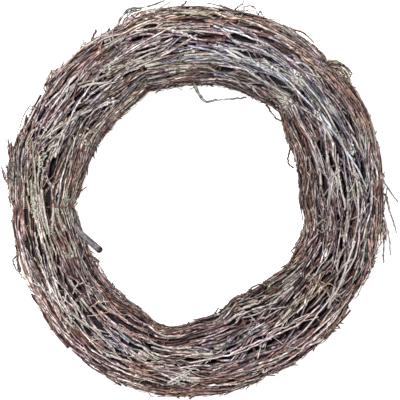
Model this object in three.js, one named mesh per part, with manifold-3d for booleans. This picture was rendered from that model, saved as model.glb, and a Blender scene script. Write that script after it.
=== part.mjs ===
// A wreath of thin dry twigs, lying flat: bunches of twigs laid along a ring and bound with rusty wire,
// with loose sprigs that stand off it and one thick stem whose cut end pokes into the hole.
// Millimetres, +Z up. The origin is in the middle of the surface that the wreath lies on.
// Angles are degrees, anticlockwise seen from above, and start at +X.

import * as THREE from 'three';
import { mergeVertices } from 'three/addons/utils/BufferGeometryUtils.js';
import Module from 'manifold-3d';

const wasm = await Module();
wasm.setup();

// The ring lies a little off the middle, because the loose sprigs reach further on one side.
const ringCentre = { x: -4.5, y: -0.5 };
const sectionPower = 2.3; // 2 is an ellipse, and more is squarer
const bulgeLift = 1.6; // height of the underside at the fullest place of a bunch
const waistLift = 3.2; // and at its waists
const waistHeight = 53;
const endGap = 0.08; // half the gap between two bunches, in degrees
const smallestEdge = 0.1; // finer slivers where twigs cross are smoothed away

// Each tie binds one waist of the ring. Radii are from the ring's centre, knot is the angle round the
// section where the wire's ends are twisted together, and bite is how deep the wire lies below the outline.
const ties = [
  { angle: 14, inner: 109.5, outer: 190, knot: 55, bite: 1.3 },
  { angle: 47, inner: 120, outer: 193.5, knot: 35, bite: 0.6 },
  { angle: 80, inner: 116, outer: 194.5, knot: 100, bite: 1.4 },
  { angle: 113, inner: 118, outer: 191, knot: 55, bite: 1 },
  { angle: 148, inner: 112, outer: 187.5, knot: 140, bite: 1.2 },
  { angle: 183, inner: 121, outer: 181.5, knot: 40, bite: 0.9 },
  { angle: 220, inner: 117.5, outer: 190.5, knot: 80, bite: 1.6 },
  { angle: 257, inner: 127, outer: 198, knot: 125, bite: 0.2 },
  { angle: 292, inner: 108.5, outer: 191.5, knot: 60, bite: 1.2 },
  { angle: 326, inner: 111, outer: 187, knot: 75, bite: 1.3 },
  { angle: 350, inner: 110, outer: 186.5, knot: 150, bite: 1.3 },
];

// The fullest place of each bunch, half way from its tie to the next one.
const bulges = [
  { inner: 108, outer: 192, height: 61 },
  { inner: 116, outer: 198, height: 63 },
  { inner: 113.5, outer: 195.5, height: 60 },
  { inner: 109.5, outer: 190, height: 62 },
  { inner: 112.5, outer: 189, height: 60 },
  { inner: 117.5, outer: 189, height: 58 },
  { inner: 118.5, outer: 197, height: 61 },
  { inner: 113.5, outer: 197, height: 63 },
  { inner: 106.5, outer: 192, height: 61 },
  { inner: 109.5, outer: 189.5, height: 60 },
  { inner: 104, outer: 188.5, height: 60 },
];

// The wire is bound round the waist, and the twigs keep clear of it. The two ends make one short twist.
const wire = { radius: 0.6, steps: 20, sides: 3, clearance: 2.6 };
const wireTwist = { length: 5, radius: 1, tipRadius: 0.7 };

// The twigs of a bunch, and the smaller core that they stand out of. A twig's rise, lift and proud say how
// far it lies above the outline, how much lower it may lie, and how far its free tip may stand off.
const twig = {
  count: 19,
  sides: 3,
  thin: 1.3,
  thick: 2.2,
  rise: 0.6,
  lift: 2,
  proud: 4,
  drift: 34,
  freeAhead: 0.25,
  freeBehind: 0.25,
};
const core = { ridges: 20, furrow: 3.4, uneven: 1.6, waistInset: 2.8, bulgeInset: 4.2 };
const coreStations = [0.28, 0.72]; // between its ties, as parts of its length
const cutReach = 0.01; // how far past its ties a bunch is made before it is cut, as a part of its length
const sprigRoot = 14; // how deep below the outline a loose sprig starts
const sprigTaper = 0.82; // its tip's thickness as a part of the rest

// The thick stem, from its hidden end to the cut end in the hole, as points along its middle.
const stem = {
  radius: 3.4,
  endRadius: 3.8,
  clearance: 0.35,
  sides: 8,
  route: [
    [-92.7, 120.9, 29],
    [-112, 104.5, 30],
    [-127, 84.5, 31],
    [-138, 62, 31],
    [-144, 37, 31],
    [-144.3, 13, 32],
    [-138.5, -5, 33],
    [-129, -19, 35],
    [-121, -31, 37],
    [-110.5, -40.5, 39],
    [-100.2, -49.4, 40],
  ],
};

// Three stout twigs under the ring are flat underneath and carry it.
const restTwig = { bunches: [1, 5, 8], radius: 2.8, sides: 6, step: 4, cut: 0.9, dip: 4 };

// Loose sprigs. Each starts inside its bunch, at an angle round the ring and one round the section,
// and runs through its own free points.
const sprigs = [
  {
    bunch: 3, angle: 93, around: 168, radius: 0.9,
    points: [[-4, 113, 47], [5, 98, 50], [23, 102, 51], [45, 103.5, 51]],
  },
  {
    bunch: 2, angle: 53, around: 165, radius: 0.8,
    points: [[66, 94, 40], [76.5, 80, 43], [81.5, 79, 43]],
  },
  {
    bunch: 1, angle: 29, around: 165, radius: 0.8,
    points: [[89, 49.5, 42], [88, 35.5, 44], [93, 32, 45]],
  },
  {
    bunch: 11, angle: 10, around: 8, radius: 0.9,
    points: [[183, 19, 36], [197, -2, 38]],
  },
  {
    bunch: 11, angle: 4, around: -8, radius: 0.8,
    points: [[186, 5, 27], [190, -11, 28], [197, -33, 29]],
  },
  {
    bunch: 11, angle: -5, around: 10, radius: 0.8,
    points: [[184, -18, 36], [188.5, -37, 38], [190, -55, 38]],
  },
  {
    bunch: 11, angle: -5, around: -12, radius: 0.8,
    points: [[183.5, -23, 25], [184.5, -44, 23], [184, -63, 22]],
  },
  {
    bunch: 4, angle: 117, around: 12, radius: 0.9,
    points: [[-84.5, 172, 37], [-76, 186, 39], [-70, 190.5, 40], [-49, 193, 42], [-35, 198, 43]],
  },
  {
    bunch: 4, angle: 122, around: 25, radius: 1.2,
    points: [[-107, 160, 45], [-103, 169, 47]],
  },
  {
    bunch: 3, angle: 92, around: 5, radius: 0.9,
    points: [[-19, 193, 33], [-13, 198.5, 34]],
  },
  {
    bunch: 2, angle: 76, around: 10, radius: 0.9,
    points: [[44, 193, 36], [55, 191.5, 38], [57.5, 185, 38]],
  },
  {
    bunch: 2, angle: 62, around: 8, radius: 0.9,
    points: [[94, 170, 35], [104, 166.5, 37], [114, 156.5, 38]],
  },
  {
    bunch: 1, angle: 45.5, around: 15, radius: 0.9,
    points: [[129, 137, 38], [143, 135, 41], [152, 125, 42], [149, 122, 41]],
  },
  {
    bunch: 5, angle: 166, around: 5, radius: 0.9,
    points: [[-191, 16, 32], [-196.5, 26, 33], [-198, 33, 33]],
  },
  {
    bunch: 5, angle: 151, around: 10, radius: 0.8,
    points: [[-168, 97, 37], [-176, 88, 39], [-183.5, 68, 39], [-184.5, 55, 38]],
  },
  {
    bunch: 6, angle: 194, around: 10, radius: 0.8,
    points: [[-181, -54, 36], [-187, -60, 38], [-184, -68, 38], [-174, -80, 36]],
  },
  {
    bunch: 6, angle: 209, around: 170, radius: 0.9,
    points: [[-110, -54, 42], [-99.5, -61.5, 45]],
  },
  {
    bunch: 8, angle: 299, around: 172, radius: 0.8,
    points: [[46, -92, 38], [57, -83.5, 41], [72, -84.5, 41]],
  },
  {
    bunch: 9, angle: 319, around: 8, radius: 0.9,
    points: [[136, -124, 35], [142.5, -130.5, 36]],
  },
];

const barkColour = { grey: 0x81736d, brown: 0x6b4f43, tan: 0x8c7860, wire: 0x5b3d2c, stem: 0x6e6763 };

const lerp = THREE.MathUtils.lerp;
const radians = THREE.MathUtils.degToRad;

// Random numbers from 0 to 1 that are the same each time.
function seededDraws(seed) {
  let state = seed;
  return () => {
    state = (state + 0x6d2b79f5) | 0;
    let mixed = Math.imul(state ^ (state >>> 15), 1 | state);
    mixed = (mixed + Math.imul(mixed ^ (mixed >>> 7), 61 | mixed)) ^ mixed;
    return ((mixed ^ (mixed >>> 14)) >>> 0) / 4294967296;
  };
}

// The angles where a bunch starts and ends. The last bunch runs on past a full turn.
function spanOf(bunch) {
  const start = ties[bunch].angle;
  const next = ties[(bunch + 1) % ties.length].angle;
  return { start, end: next > start ? next : next + 360 };
}

// The ring's section at an angle: its inner and outer radius, and its lowest and highest point.
function sectionAt(angle) {
  const turned = ((angle - ties[0].angle) % 360 + 360) % 360 + ties[0].angle;
  const bunch = ties.findLastIndex((tie) => tie.angle <= turned);
  const { start, end } = spanOf(bunch);
  const along = (turned - start) / (end - start);
  const tie = along < 0.5 ? ties[bunch] : ties[(bunch + 1) % ties.length];
  const bulge = bulges[bunch];
  const fullness = Math.sin(Math.PI * along) ** 0.75;
  return {
    inner: lerp(tie.inner, bulge.inner, fullness),
    outer: lerp(tie.outer, bulge.outer, fullness),
    low: lerp(waistLift, bulgeLift, fullness),
    high: lerp(waistLift + waistHeight, bulge.height, fullness),
    fullness,
  };
}

// A point of the ring: an angle round the ring, an angle round its section (0 outside, 90 on top),
// and a depth below the section's outline.
function placeOn(angle, around, inset) {
  const section = sectionAt(angle);
  const c = Math.cos(radians(around));
  const s = Math.sin(radians(around));
  const halfWidth = (section.outer - section.inner) / 2 - inset;
  const halfHeight = (section.high - section.low) / 2 - inset;
  const across = Math.sign(c) * halfWidth * Math.abs(c) ** (2 / sectionPower);
  const up = Math.sign(s) * halfHeight * Math.abs(s) ** (2 / sectionPower);
  const radius = (section.outer + section.inner) / 2 + across;
  return new THREE.Vector3(
    ringCentre.x + radius * Math.cos(radians(angle)),
    ringCentre.y + radius * Math.sin(radians(angle)),
    (section.high + section.low) / 2 + up,
  );
}

// A closed body through rings of points that run anticlockwise, seen against the way it goes.
function loft(rings, closed = false) {
  const sides = rings[0].length;
  const index = [];
  const steps = closed ? rings.length : rings.length - 1;
  for (let k = 0; k < steps; k++) {
    for (let j = 0; j < sides; j++) {
      const here = k * sides + j;
      const beside = k * sides + (j + 1) % sides;
      const ahead = (k + 1) % rings.length * sides + j;
      const aheadBeside = (k + 1) % rings.length * sides + (j + 1) % sides;
      index.push(here, beside, aheadBeside, here, aheadBeside, ahead);
    }
  }
  if (!closed) {
    const last = (rings.length - 1) * sides;
    for (let j = 1; j < sides - 1; j++) {
      index.push(0, j + 1, j, last, last + j, last + j + 1);
    }
  }
  const geometry = new THREE.BufferGeometry().setFromPoints(rings.flat());
  return geometry.setIndex(index);
}

// A tube along points, with a radius at each of them.
function tube(points, radii, sides, closed = false, firstNormal = new THREE.Vector3(0, 0, 1)) {
  const normal = firstNormal.clone();
  const rings = points.map((point, k) => {
    const before = points[closed ? (k + points.length - 1) % points.length : Math.max(k - 1, 0)];
    const after = points[closed ? (k + 1) % points.length : Math.min(k + 1, points.length - 1)];
    const along = after.clone().sub(before).normalize();
    normal.addScaledVector(along, -normal.dot(along)).normalize();
    const side = along.clone().cross(normal);
    return Array.from({ length: sides }, (_, j) => {
      const turn = 2 * Math.PI * j / sides;
      return point.clone()
        .addScaledVector(normal, radii[k] * Math.cos(turn))
        .addScaledVector(side, radii[k] * Math.sin(turn));
    });
  });
  return loft(rings, closed);
}

function solidOf(geometry) {
  return new wasm.Manifold(new wasm.Mesh({
    numProp: 3,
    vertProperties: new Float32Array(geometry.getAttribute('position').array),
    triVerts: new Uint32Array(geometry.index.array),
  }));
}

// The biggest body of a solid. What a cut leaves loose beside it is dropped.
function wholeOf(solid) {
  return solid.decompose().reduce((biggest, body) => (body.volume() > biggest.volume() ? body : biggest));
}

function meshOf(name, solid, colour, roughness, metalness = 0) {
  const { vertProperties, triVerts } = solid.getMesh();
  const geometry = new THREE.BufferGeometry();
  geometry.setAttribute('position', new THREE.BufferAttribute(vertProperties, 3));
  geometry.setIndex(new THREE.BufferAttribute(triVerts, 1));
  const mesh = new THREE.Mesh(geometry, new THREE.MeshStandardMaterial({ color: colour, roughness, metalness }));
  mesh.name = name;
  return mesh;
}

// The room of one bunch: a wedge between its two ties, above the surface that the wreath lies on.
function wedgeOf(bunch) {
  const reach = 300;
  const { start, end } = spanOf(bunch);
  const corner = (angle) => new THREE.Vector2(
    ringCentre.x + reach * Math.cos(radians(angle)),
    ringCentre.y + reach * Math.sin(radians(angle)),
  );
  const outline = new THREE.Shape([
    new THREE.Vector2(ringCentre.x, ringCentre.y),
    corner(start + endGap),
    corner(end - endGap),
  ]);
  const prism = new THREE.ExtrudeGeometry(outline, { depth: 120, bevelEnabled: false });
  prism.deleteAttribute('normal');
  prism.deleteAttribute('uv');
  return solidOf(mergeVertices(prism));
}

// The pressed inner twigs of a bunch, as one smaller body with a ridge for each of them.
function coreOf(bunch) {
  const { start, end } = spanOf(bunch);
  const draw = seededDraws(53 + 71 * bunch);
  const rings = [-cutReach, ...coreStations, 1 + cutReach].map((along) => {
    const angle = lerp(start, end, along);
    const inset = lerp(core.waistInset, core.bulgeInset, sectionAt(angle).fullness);
    return Array.from({ length: core.ridges * 2 }, (_, j) => {
      const furrow = j % 2 * core.furrow + draw() * core.uneven;
      const shift = (draw() - 0.5) / 2;
      return placeOn(angle, 180 * (j + shift) / core.ridges, inset + furrow);
    });
  });
  return solidOf(loft(rings.map((ring) => ring.reverse())));
}

// One outer twig. It runs from tie to tie, or ends in a free tip short of one of them.
function outerTwig(bunch, around, draw) {
  const { start, end } = spanOf(bunch);
  const drift = (draw() - 0.5) * 2 * twig.drift * draw();
  const radius = lerp(twig.thin, twig.thick, draw() ** 1.4);
  const waist = wire.clearance + radius + draw();
  const lifts = [draw(), draw()].map((part) => part * twig.lift - twig.rise);
  const underneath = Math.sin(radians(around)) < -0.5;
  const tip = radius - draw() * (underneath ? 0 : twig.proud);
  const places = [
    [-cutReach, around - drift, waist],
    [0.3, around - drift * 0.4, lifts[0]],
    [0.68, around + drift * 0.4, lifts[1]],
    [1 + cutReach, around + drift, waist],
  ];
  const kind = draw();
  if (kind < twig.freeAhead) {
    places.splice(2, 2, [lerp(0.6, 0.86, draw()), around + drift / 2, tip]);
  } else if (kind < twig.freeAhead + twig.freeBehind) {
    places.splice(0, 2, [lerp(0.14, 0.4, draw()), around - drift / 2, tip]);
    places.reverse();
  }
  const points = places.map(([along, turn, inset]) => placeOn(lerp(start, end, along), turn, inset));
  const radii = places.map((_, j) => radius * lerp(1, 0.75, j / (places.length - 1)));
  return solidOf(tube(points, radii, twig.sides));
}

function twigsOf(bunch) {
  const draw = seededDraws(311 + 97 * bunch);
  return Array.from({ length: twig.count }, (_, k) => (
    outerTwig(bunch, 360 * (k + draw() * 0.7) / twig.count, draw)));
}

// A stout twig under the fullest place, low enough to be cut flat by the surface. Its ends dip into the core.
function restTwigOf(bunch) {
  const { start, end } = spanOf(bunch);
  const points = [-2, -1, 0, 1, 2].map((step) => {
    const place = placeOn((start + end) / 2 + step * restTwig.step, 270, 0);
    return place.setZ(restTwig.radius - restTwig.cut + (Math.abs(step) === 2 ? restTwig.dip : 0));
  });
  return solidOf(tube(points, points.map(() => restTwig.radius), restTwig.sides));
}

// A loose sprig, from inside its bunch out through its free points, thinner at the tip.
function sprigSolid({ angle, around, radius, points }) {
  const path = [placeOn(angle, around, sprigRoot), ...points.map((point) => new THREE.Vector3(...point))];
  const radii = path.map((_, j) => (j === path.length - 1 ? radius * sprigTaper : radius));
  return solidOf(tube(path, radii, twig.sides));
}

// The thick stem, or the channel that it lies in, which is wider and longer by a clearance.
function stemSolid(clearance) {
  const path = stem.route.map((point) => new THREE.Vector3(...point));
  const lastStep = path.at(-1).clone().sub(path.at(-2)).normalize();
  const firstStep = path[0].clone().sub(path[1]).normalize();
  path[0].addScaledVector(firstStep, clearance);
  path.at(-1).addScaledVector(lastStep, clearance);
  const radii = path.map((_, j) => (j === path.length - 1 ? stem.endRadius : stem.radius) + clearance);
  return solidOf(tube(path, radii, stem.sides));
}

function bunchSolid(bunch, channel) {
  const carriers = restTwig.bunches.includes(bunch + 1) ? [restTwigOf(bunch)] : [];
  const bound = wasm.Manifold.union([coreOf(bunch), ...twigsOf(bunch), ...carriers]).intersect(wedgeOf(bunch));
  const loose = sprigs.filter((sprig) => sprig.bunch === bunch + 1).map(sprigSolid);
  return wholeOf(wasm.Manifold.union([bound, ...loose]).subtract(channel).simplify(smallestEdge));
}

// One turn of wire round a waist, with its twisted end standing off and bent along the ring.
function wireSolid(tie) {
  const turn = Array.from({ length: wire.steps }, (_, j) => placeOn(tie.angle, -360 * j / wire.steps, tie.bite));
  const along = new THREE.Vector3(-Math.sin(radians(tie.angle)), Math.cos(radians(tie.angle)), 0);
  const loop = tube(turn, turn.map(() => wire.radius), wire.sides, true, along);
  const knot = placeOn(tie.angle, tie.knot, tie.bite);
  const outward = placeOn(tie.angle, tie.knot, 0).sub(knot).normalize();
  const twist = [[0, 0], [0.5, 0.1], [0.7, 1]].map(([off, on]) => knot.clone()
    .addScaledVector(outward, wireTwist.length * off)
    .addScaledVector(along, wireTwist.length * on));
  const radii = [wireTwist.radius, wireTwist.radius, wireTwist.tipRadius];
  return solidOf(loop).add(solidOf(tube(twist, radii, wire.sides, false, along)));
}

const wreath = new THREE.Group();
const channel = stemSolid(stem.clearance);
const barks = [barkColour.grey, barkColour.brown, barkColour.tan];

ties.forEach((tie, k) => {
  const number = String(k + 1).padStart(2, '0');
  wreath.add(meshOf(`twig_bunch_${number}`, bunchSolid(k, channel), barks[k % barks.length], 0.85));
  wreath.add(meshOf(`tie_wire_${number}`, wireSolid(tie), barkColour.wire, 0.6, 0.4));
});
wreath.add(meshOf('thick_stem', stemSolid(0), barkColour.stem, 0.8));

export default wreath;
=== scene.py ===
import math

import bpy
import numpy as np
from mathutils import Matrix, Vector


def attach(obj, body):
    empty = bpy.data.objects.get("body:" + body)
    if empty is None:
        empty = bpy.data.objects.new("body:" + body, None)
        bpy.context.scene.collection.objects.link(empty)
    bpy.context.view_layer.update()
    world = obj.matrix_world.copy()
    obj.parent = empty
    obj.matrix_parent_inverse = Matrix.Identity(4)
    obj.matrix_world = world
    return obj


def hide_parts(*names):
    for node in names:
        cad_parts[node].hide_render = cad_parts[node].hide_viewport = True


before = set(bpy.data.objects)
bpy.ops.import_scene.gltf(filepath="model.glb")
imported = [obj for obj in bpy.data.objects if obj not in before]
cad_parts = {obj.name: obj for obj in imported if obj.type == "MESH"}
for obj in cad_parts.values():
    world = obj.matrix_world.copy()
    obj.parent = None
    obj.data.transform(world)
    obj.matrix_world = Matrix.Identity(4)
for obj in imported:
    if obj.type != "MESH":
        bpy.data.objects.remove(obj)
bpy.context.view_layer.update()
print("wreath: frame loaded with", len(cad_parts), "solids")

# lengths are in millimetres and angles in degrees, counted from +X; meshes are made in metres
mm = 0.001

# the bound ring: a waist at every tie, a bulge between two ties
ring = {
    "centre": (-4.5, -0.5),
    "squareness": 2.3,      # 2 gives an oval section, more a boxier one
    "tieAngle": [14, 47, 80, 113, 148, 183, 220, 257, 292, 326, 350],
    "tieInner": [105.8, 122, 116, 118, 112, 120, 117.5, 128, 103.3, 111, 110],
    "tieOuter": [191, 193.5, 194.5, 190.7, 188, 185, 193, 198.5, 192, 187, 187.5],
    "bulgeInner": [108, 117, 113.5, 111, 112, 116.5, 119.5, 116.3, 106, 111, 103.5],
    "bulgeOuter": [194.5, 197, 195, 191.3, 190.5, 188, 197.5, 195, 191.5, 189, 188.5],
    "bulgeTop": [61, 63, 60, 62, 60, 58, 61, 63, 61, 60, 60],
    # below 1 the waist is sharp
    "tieSpread": [1.3, 0.9, 1.2, 1.0, 1.3, 1.2, 1.2, 2.1, 1.2, 1.2, 1.3],
    # how much the twigs cross, and how long they are: shorter where the ring looks chopped
    "jumble": [1, 1, 1, 1.2, 1.1, 1.1, 1.15, 1.2, 1.6, 1.7, 1.2],
    "twigLength": [1.1, 1.15, 1.05, 0.85, 0.85, 0.85, 0.75, 0.8, 0.7, 0.7, 1],
    "bareTie": 5,           # the one tie whose wire no twig covers
    "tieBottom": 3.2,
    "tieTop": 56.2,
    "bulgeBottom": 1.6,
}
ties = np.array(ring["tieAngle"], float)
spans = np.diff(np.append(ties, ties[0] + 360))
bunchCount = len(ties)
ringCentre = np.array(ring["centre"])
draw = np.random.default_rng(7)


def unit(way):
    return way / np.maximum(np.linalg.norm(way, axis=-1, keepdims=True), 1e-9)


def ramp(value, low, high):
    # 0 below low, 1 above high and straight between
    return np.clip((value - low) / (high - low), 0, 1)


def turnFrom(angle, start):
    # degrees from start to angle, between -180 and 180
    return np.mod(angle - start + 180, 360) - 180


def softened(path):
    # each point but the ends drawn halfway towards the middle of its neighbours
    soft = path.copy()
    soft[..., 1:-1, :] = path[..., 1:-1, :] / 2 + (path[..., :-2, :] + path[..., 2:, :]) / 4
    return soft


def evenly(points, count):
    # count places at even steps along a line through these points
    points = np.array(points, float)
    gone = np.concatenate([[0], np.cumsum(np.linalg.norm(np.diff(points, axis=0), axis=1))])
    at = np.linspace(0, gone[-1], count)
    return np.stack([np.interp(at, gone, points[:, axis]) for axis in range(3)], axis=-1)


def toPolar(place):
    # angle in degrees round the ring's centre, and the distance from it
    flat = place[..., :2] - ringCentre
    return np.degrees(np.arctan2(flat[..., 1], flat[..., 0])), np.hypot(flat[..., 0], flat[..., 1])


def fromPolar(turn, distance, height):
    # the place at a turn in radians
    x = ringCentre[0] + distance * np.cos(turn)
    y = ringCentre[1] + distance * np.sin(turn)
    return np.stack([x, y, height], axis=-1)


def sectionAt(angle):
    # inner edge, outer edge, bottom and top of the ring at these angles
    turned = np.mod(angle - ties[0], 360)
    starts = ties - ties[0]
    bunch = np.minimum(np.searchsorted(starts + spans, turned, side="right"), bunchCount - 1)
    along = (turned - starts[bunch]) / spans[bunch]
    tie = np.where(along < 0.5, bunch, (bunch + 1) % bunchCount)
    full = np.sin(np.pi * np.clip(along, 0, 1)) ** np.array(ring["tieSpread"])[tie]

    def blend(atTie, atBulge):
        return atTie + (atBulge - atTie) * full

    return (
        blend(np.array(ring["tieInner"])[tie], np.array(ring["bulgeInner"])[bunch]),
        blend(np.array(ring["tieOuter"])[tie], np.array(ring["bulgeOuter"])[bunch]),
        blend(ring["tieBottom"], ring["bulgeBottom"]),
        blend(ring["tieTop"], np.array(ring["bulgeTop"])[bunch]),
    )


def outOfSection(angle, across, up, inset):
    # a point of the section, with across and up from -1 to 1, as a place in the wreath
    inner, outer, low, high = sectionAt(angle)
    distance = (inner + outer) / 2 + across * ((outer - inner) / 2 - inset)
    return fromPolar(np.radians(angle), distance, (low + high) / 2 + up * ((high - low) / 2 - inset))


def intoSection(place, inset):
    # the other way round: angle, across and up of places in the wreath
    angle, distance = toPolar(place)
    inner, outer, low, high = sectionAt(angle)
    across = (distance - (inner + outer) / 2) / ((outer - inner) / 2 - inset)
    up = (place[..., 2] - (low + high) / 2) / ((high - low) / 2 - inset)
    return angle, across, up


def onOutline(turn):
    # across and up on the section's outline, at a turn round it in radians
    power = 2 / ring["squareness"]
    return [np.sign(part) * np.abs(part) ** power for part in (np.cos(turn), np.sin(turn))]


def topAt(across):
    # up on the face of the section
    power = ring["squareness"]
    return (1 - np.minimum(np.abs(across), 0.98) ** power) ** (1 / power)


def fillOf(across, up):
    # 0 in the middle of the section and 1 on its outline
    power = ring["squareness"]
    return (np.abs(across) ** power + np.abs(up) ** power) ** (1 / power)


def keepInside(place, radius, limit):
    # twigs that reach past their limit are pressed back to it
    angle, across, up = intoSection(place, radius)
    press = np.minimum(1, limit / np.maximum(fillOf(across, up), 1e-6))
    return outOfSection(angle, across * press, up * press, radius)


def wander(place, wave, seed, rank=6):
    # smooth noise of about -1 to 1 with this wavelength
    own = np.random.default_rng(seed)
    total = np.zeros(place.shape[:-1])
    for _ in range(rank):
        way = own.normal(size=3)
        way *= 2 * math.pi / wave * own.uniform(0.6, 1.5) / np.linalg.norm(way)
        total += np.sin(place @ way + own.uniform(0, 2 * math.pi))
    return total / math.sqrt(rank / 2) / 1.6


def linear(colour):
    # an on-screen colour of 0 to 255 as light
    share = np.array(colour, float) / 255
    return np.where(share <= 0.04045, share / 12.92, ((share + 0.055) / 1.055) ** 2.4)


# bark colours as they look in flat light, then how often each comes in the open and in the zones below
barkZones = ("open", "warm", "red", "tan", "cool")
barks = {
    "silver": ((184, 175, 174), 12, 4, 4, 8, 5),
    "frost": ((170, 173, 180), 2, 0, 0, 0, 12),
    "ash": ((172, 159, 156), 24, 7, 10, 22, 16),
    "mauve": ((151, 128, 131), 22, 11, 12, 8, 13),
    "plum": ((98, 80, 86), 13, 12, 12, 7, 10),
    "umber": ((92, 74, 68), 10, 16, 10, 16, 5),
    "slate": ((121, 120, 130), 5, 0, 0, 0, 33),
    "russet": ((126, 98, 90), 9, 24, 22, 6, 2),
    "maroon": ((123, 90, 84), 0, 1, 26, 0, 0),
    "rust": ((136, 112, 103), 2, 12, 4, 2, 0),
    "amber": ((146, 119, 101), 0, 8, 2, 0, 0),
    "straw": ((166, 152, 136), 4, 7, 5, 26, 1),
    "mossy": ((134, 127, 113), 4, 3, 2, 20, 1),
    "lead": ((106, 104, 101), 2, 1, 1, 10, 3),
}
barkNames = list(barks)
barkColours = np.array([linear(colour) for colour, *_ in barks.values()])
barkOdds = {}
for column, zone in enumerate(barkZones):
    often = np.array([shares[column] for _, *shares in barks.values()], float)
    barkOdds[zone] = often / often.sum()

# zones on the face: where one sort of bark is common, where lichen grows, and where the twigs are lighter or
# darker than elsewhere; each place is x, y and how far it reaches
zonePlaces = {
    "warm": [
        (130, 126, 26), (100, 72, 18), (-32, -136, 26), (-98, 150, 16), (-20, 178, 22), (-150, 120, 18),
        (120, -110, 16), (20, -186, 22), (-105, -140, 24), (-60, -170, 24), (70, -170, 24), (150, -90, 22),
        (165, 80, 16), (-98, -104, 18), (-74, -121, 18), (-41, -136, 18), (107, 20, 14), (104, 62, 20),
        (144, 104, 24), (158, 78, 14), (30, 176, 14), (58, 168, 14), (84, 153, 14), (104, 139, 14),
        (120, 125, 14), (136, 109, 14),
    ],
    "red": [
        (-96, -102, 15), (-74, -121, 14), (-38, -139, 17), (-130, -133, 11), (-90, -162, 13),
        (44, -162, 15), (68, -155, 12), (80, -73, 10), (146, -88, 12), (104, 67, 15), (110, 12, 12),
        (-100, 156, 15), (-182, 12, 10), (-133, -47, 8), (150, 100, 10),
    ],
    "tan": [
        (-170, 22, 22), (-160, -14, 28), (-164, -56, 26), (-140, -92, 24), (-126, 8, 16), (-122, -34, 18),
        (-138, 40, 16), (-70, 110, 16), (-100, 84, 14), (-118, -80, 14), (-72, 126, 14), (58, -179, 18),
    ],
    "cool": [
        (158, 0, 18), (152, 42, 18), (138, 80, 16), (108, 108, 24), (72, 130, 26), (35, 147, 26),
        (-4, 152, 20), (52, 126, 16), (66, 120, 16), (-26, 160, 14), (-104, 97, 14), (128, -50, 9),
        (60, -140, 14), (-85, -134, 16),
    ],
    "lichen": [
        (-143, -16, 18), (-88, 136, 16), (95, 121, 18), (-145, 50, 12), (78, 96, 12), (-60, 128, 12),
        (168, 60, 12), (60, -160, 16), (-120, -112, 16), (140, -60, 12), (88, -98, 22), (-20, -172, 14),
    ],
    "light": [
        (-24, 158, 24), (-68, 102, 12), (-74, -122, 16), (-163, -20, 16), (75, -139, 22), (150, -42, 14),
        (-171, -68, 15), (63, -167, 26), (-52, 175, 16), (-150, -106, 20), (-96, -156, 20), (-20, -176, 12),
        (-84, 84, 18), (-106, 58, 9), (96, -150, 24), (122, -120, 20), (40, -180, 20), (0, -188, 18),
        (-86, -143, 14), (178, -30, 20), (-47, 159, 14), (16, 161, 22), (-66, 150, 12), (-114, 144, 22),
        (-148, 110, 18), (-124, 16, 18), (-144, -20, 14), (-115, -144, 26), (-76, -167, 26), (14, -140, 18),
        (-20, 119, 13), (107, -142, 20), (106, 143, 13), (65, 167, 13), (124, -99, 12), (163, -70, 13),
        (-116, -47, 11), (-172, 69, 11), (107, -47, 12), (175, -24, 16),
    ],
    "dark": [
        (-186, 34, 18), (116, 0, 16), (91, -75, 18), (106, 86, 26), (131, 36, 22), (-117, 83, 20),
        (-88, 139, 18), (-118, -114, 16), (74, 136, 20), (-127, 69, 14), (-52, -181, 13), (-141, -38, 14),
        (-128, -70, 14), (138, -84, 14), (126, 52, 20), (50, 128, 19), (12, 138, 11), (-24, 138, 15),
        (-135, 53, 19), (-153, 62, 12), (-131, -98, 12), (69, -97, 15), (82, -111, 13), (135, -19, 15),
        (115, 16, 15), (133, 20, 13), (-58, 130, 11), (-103, 128, 12), (121, 103, 14),
    ],
}


def nearPlaces(place, zone):
    # 1 in the middle of a place of this zone, 0 away from all of them
    near = np.zeros(place.shape[:-1])
    for x, y, reach in zonePlaces[zone]:
        gap = np.hypot(place[..., 0] - x, place[..., 1] - y) / reach
        near = np.maximum(near, np.exp(-gap ** 2))
    return near


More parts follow.
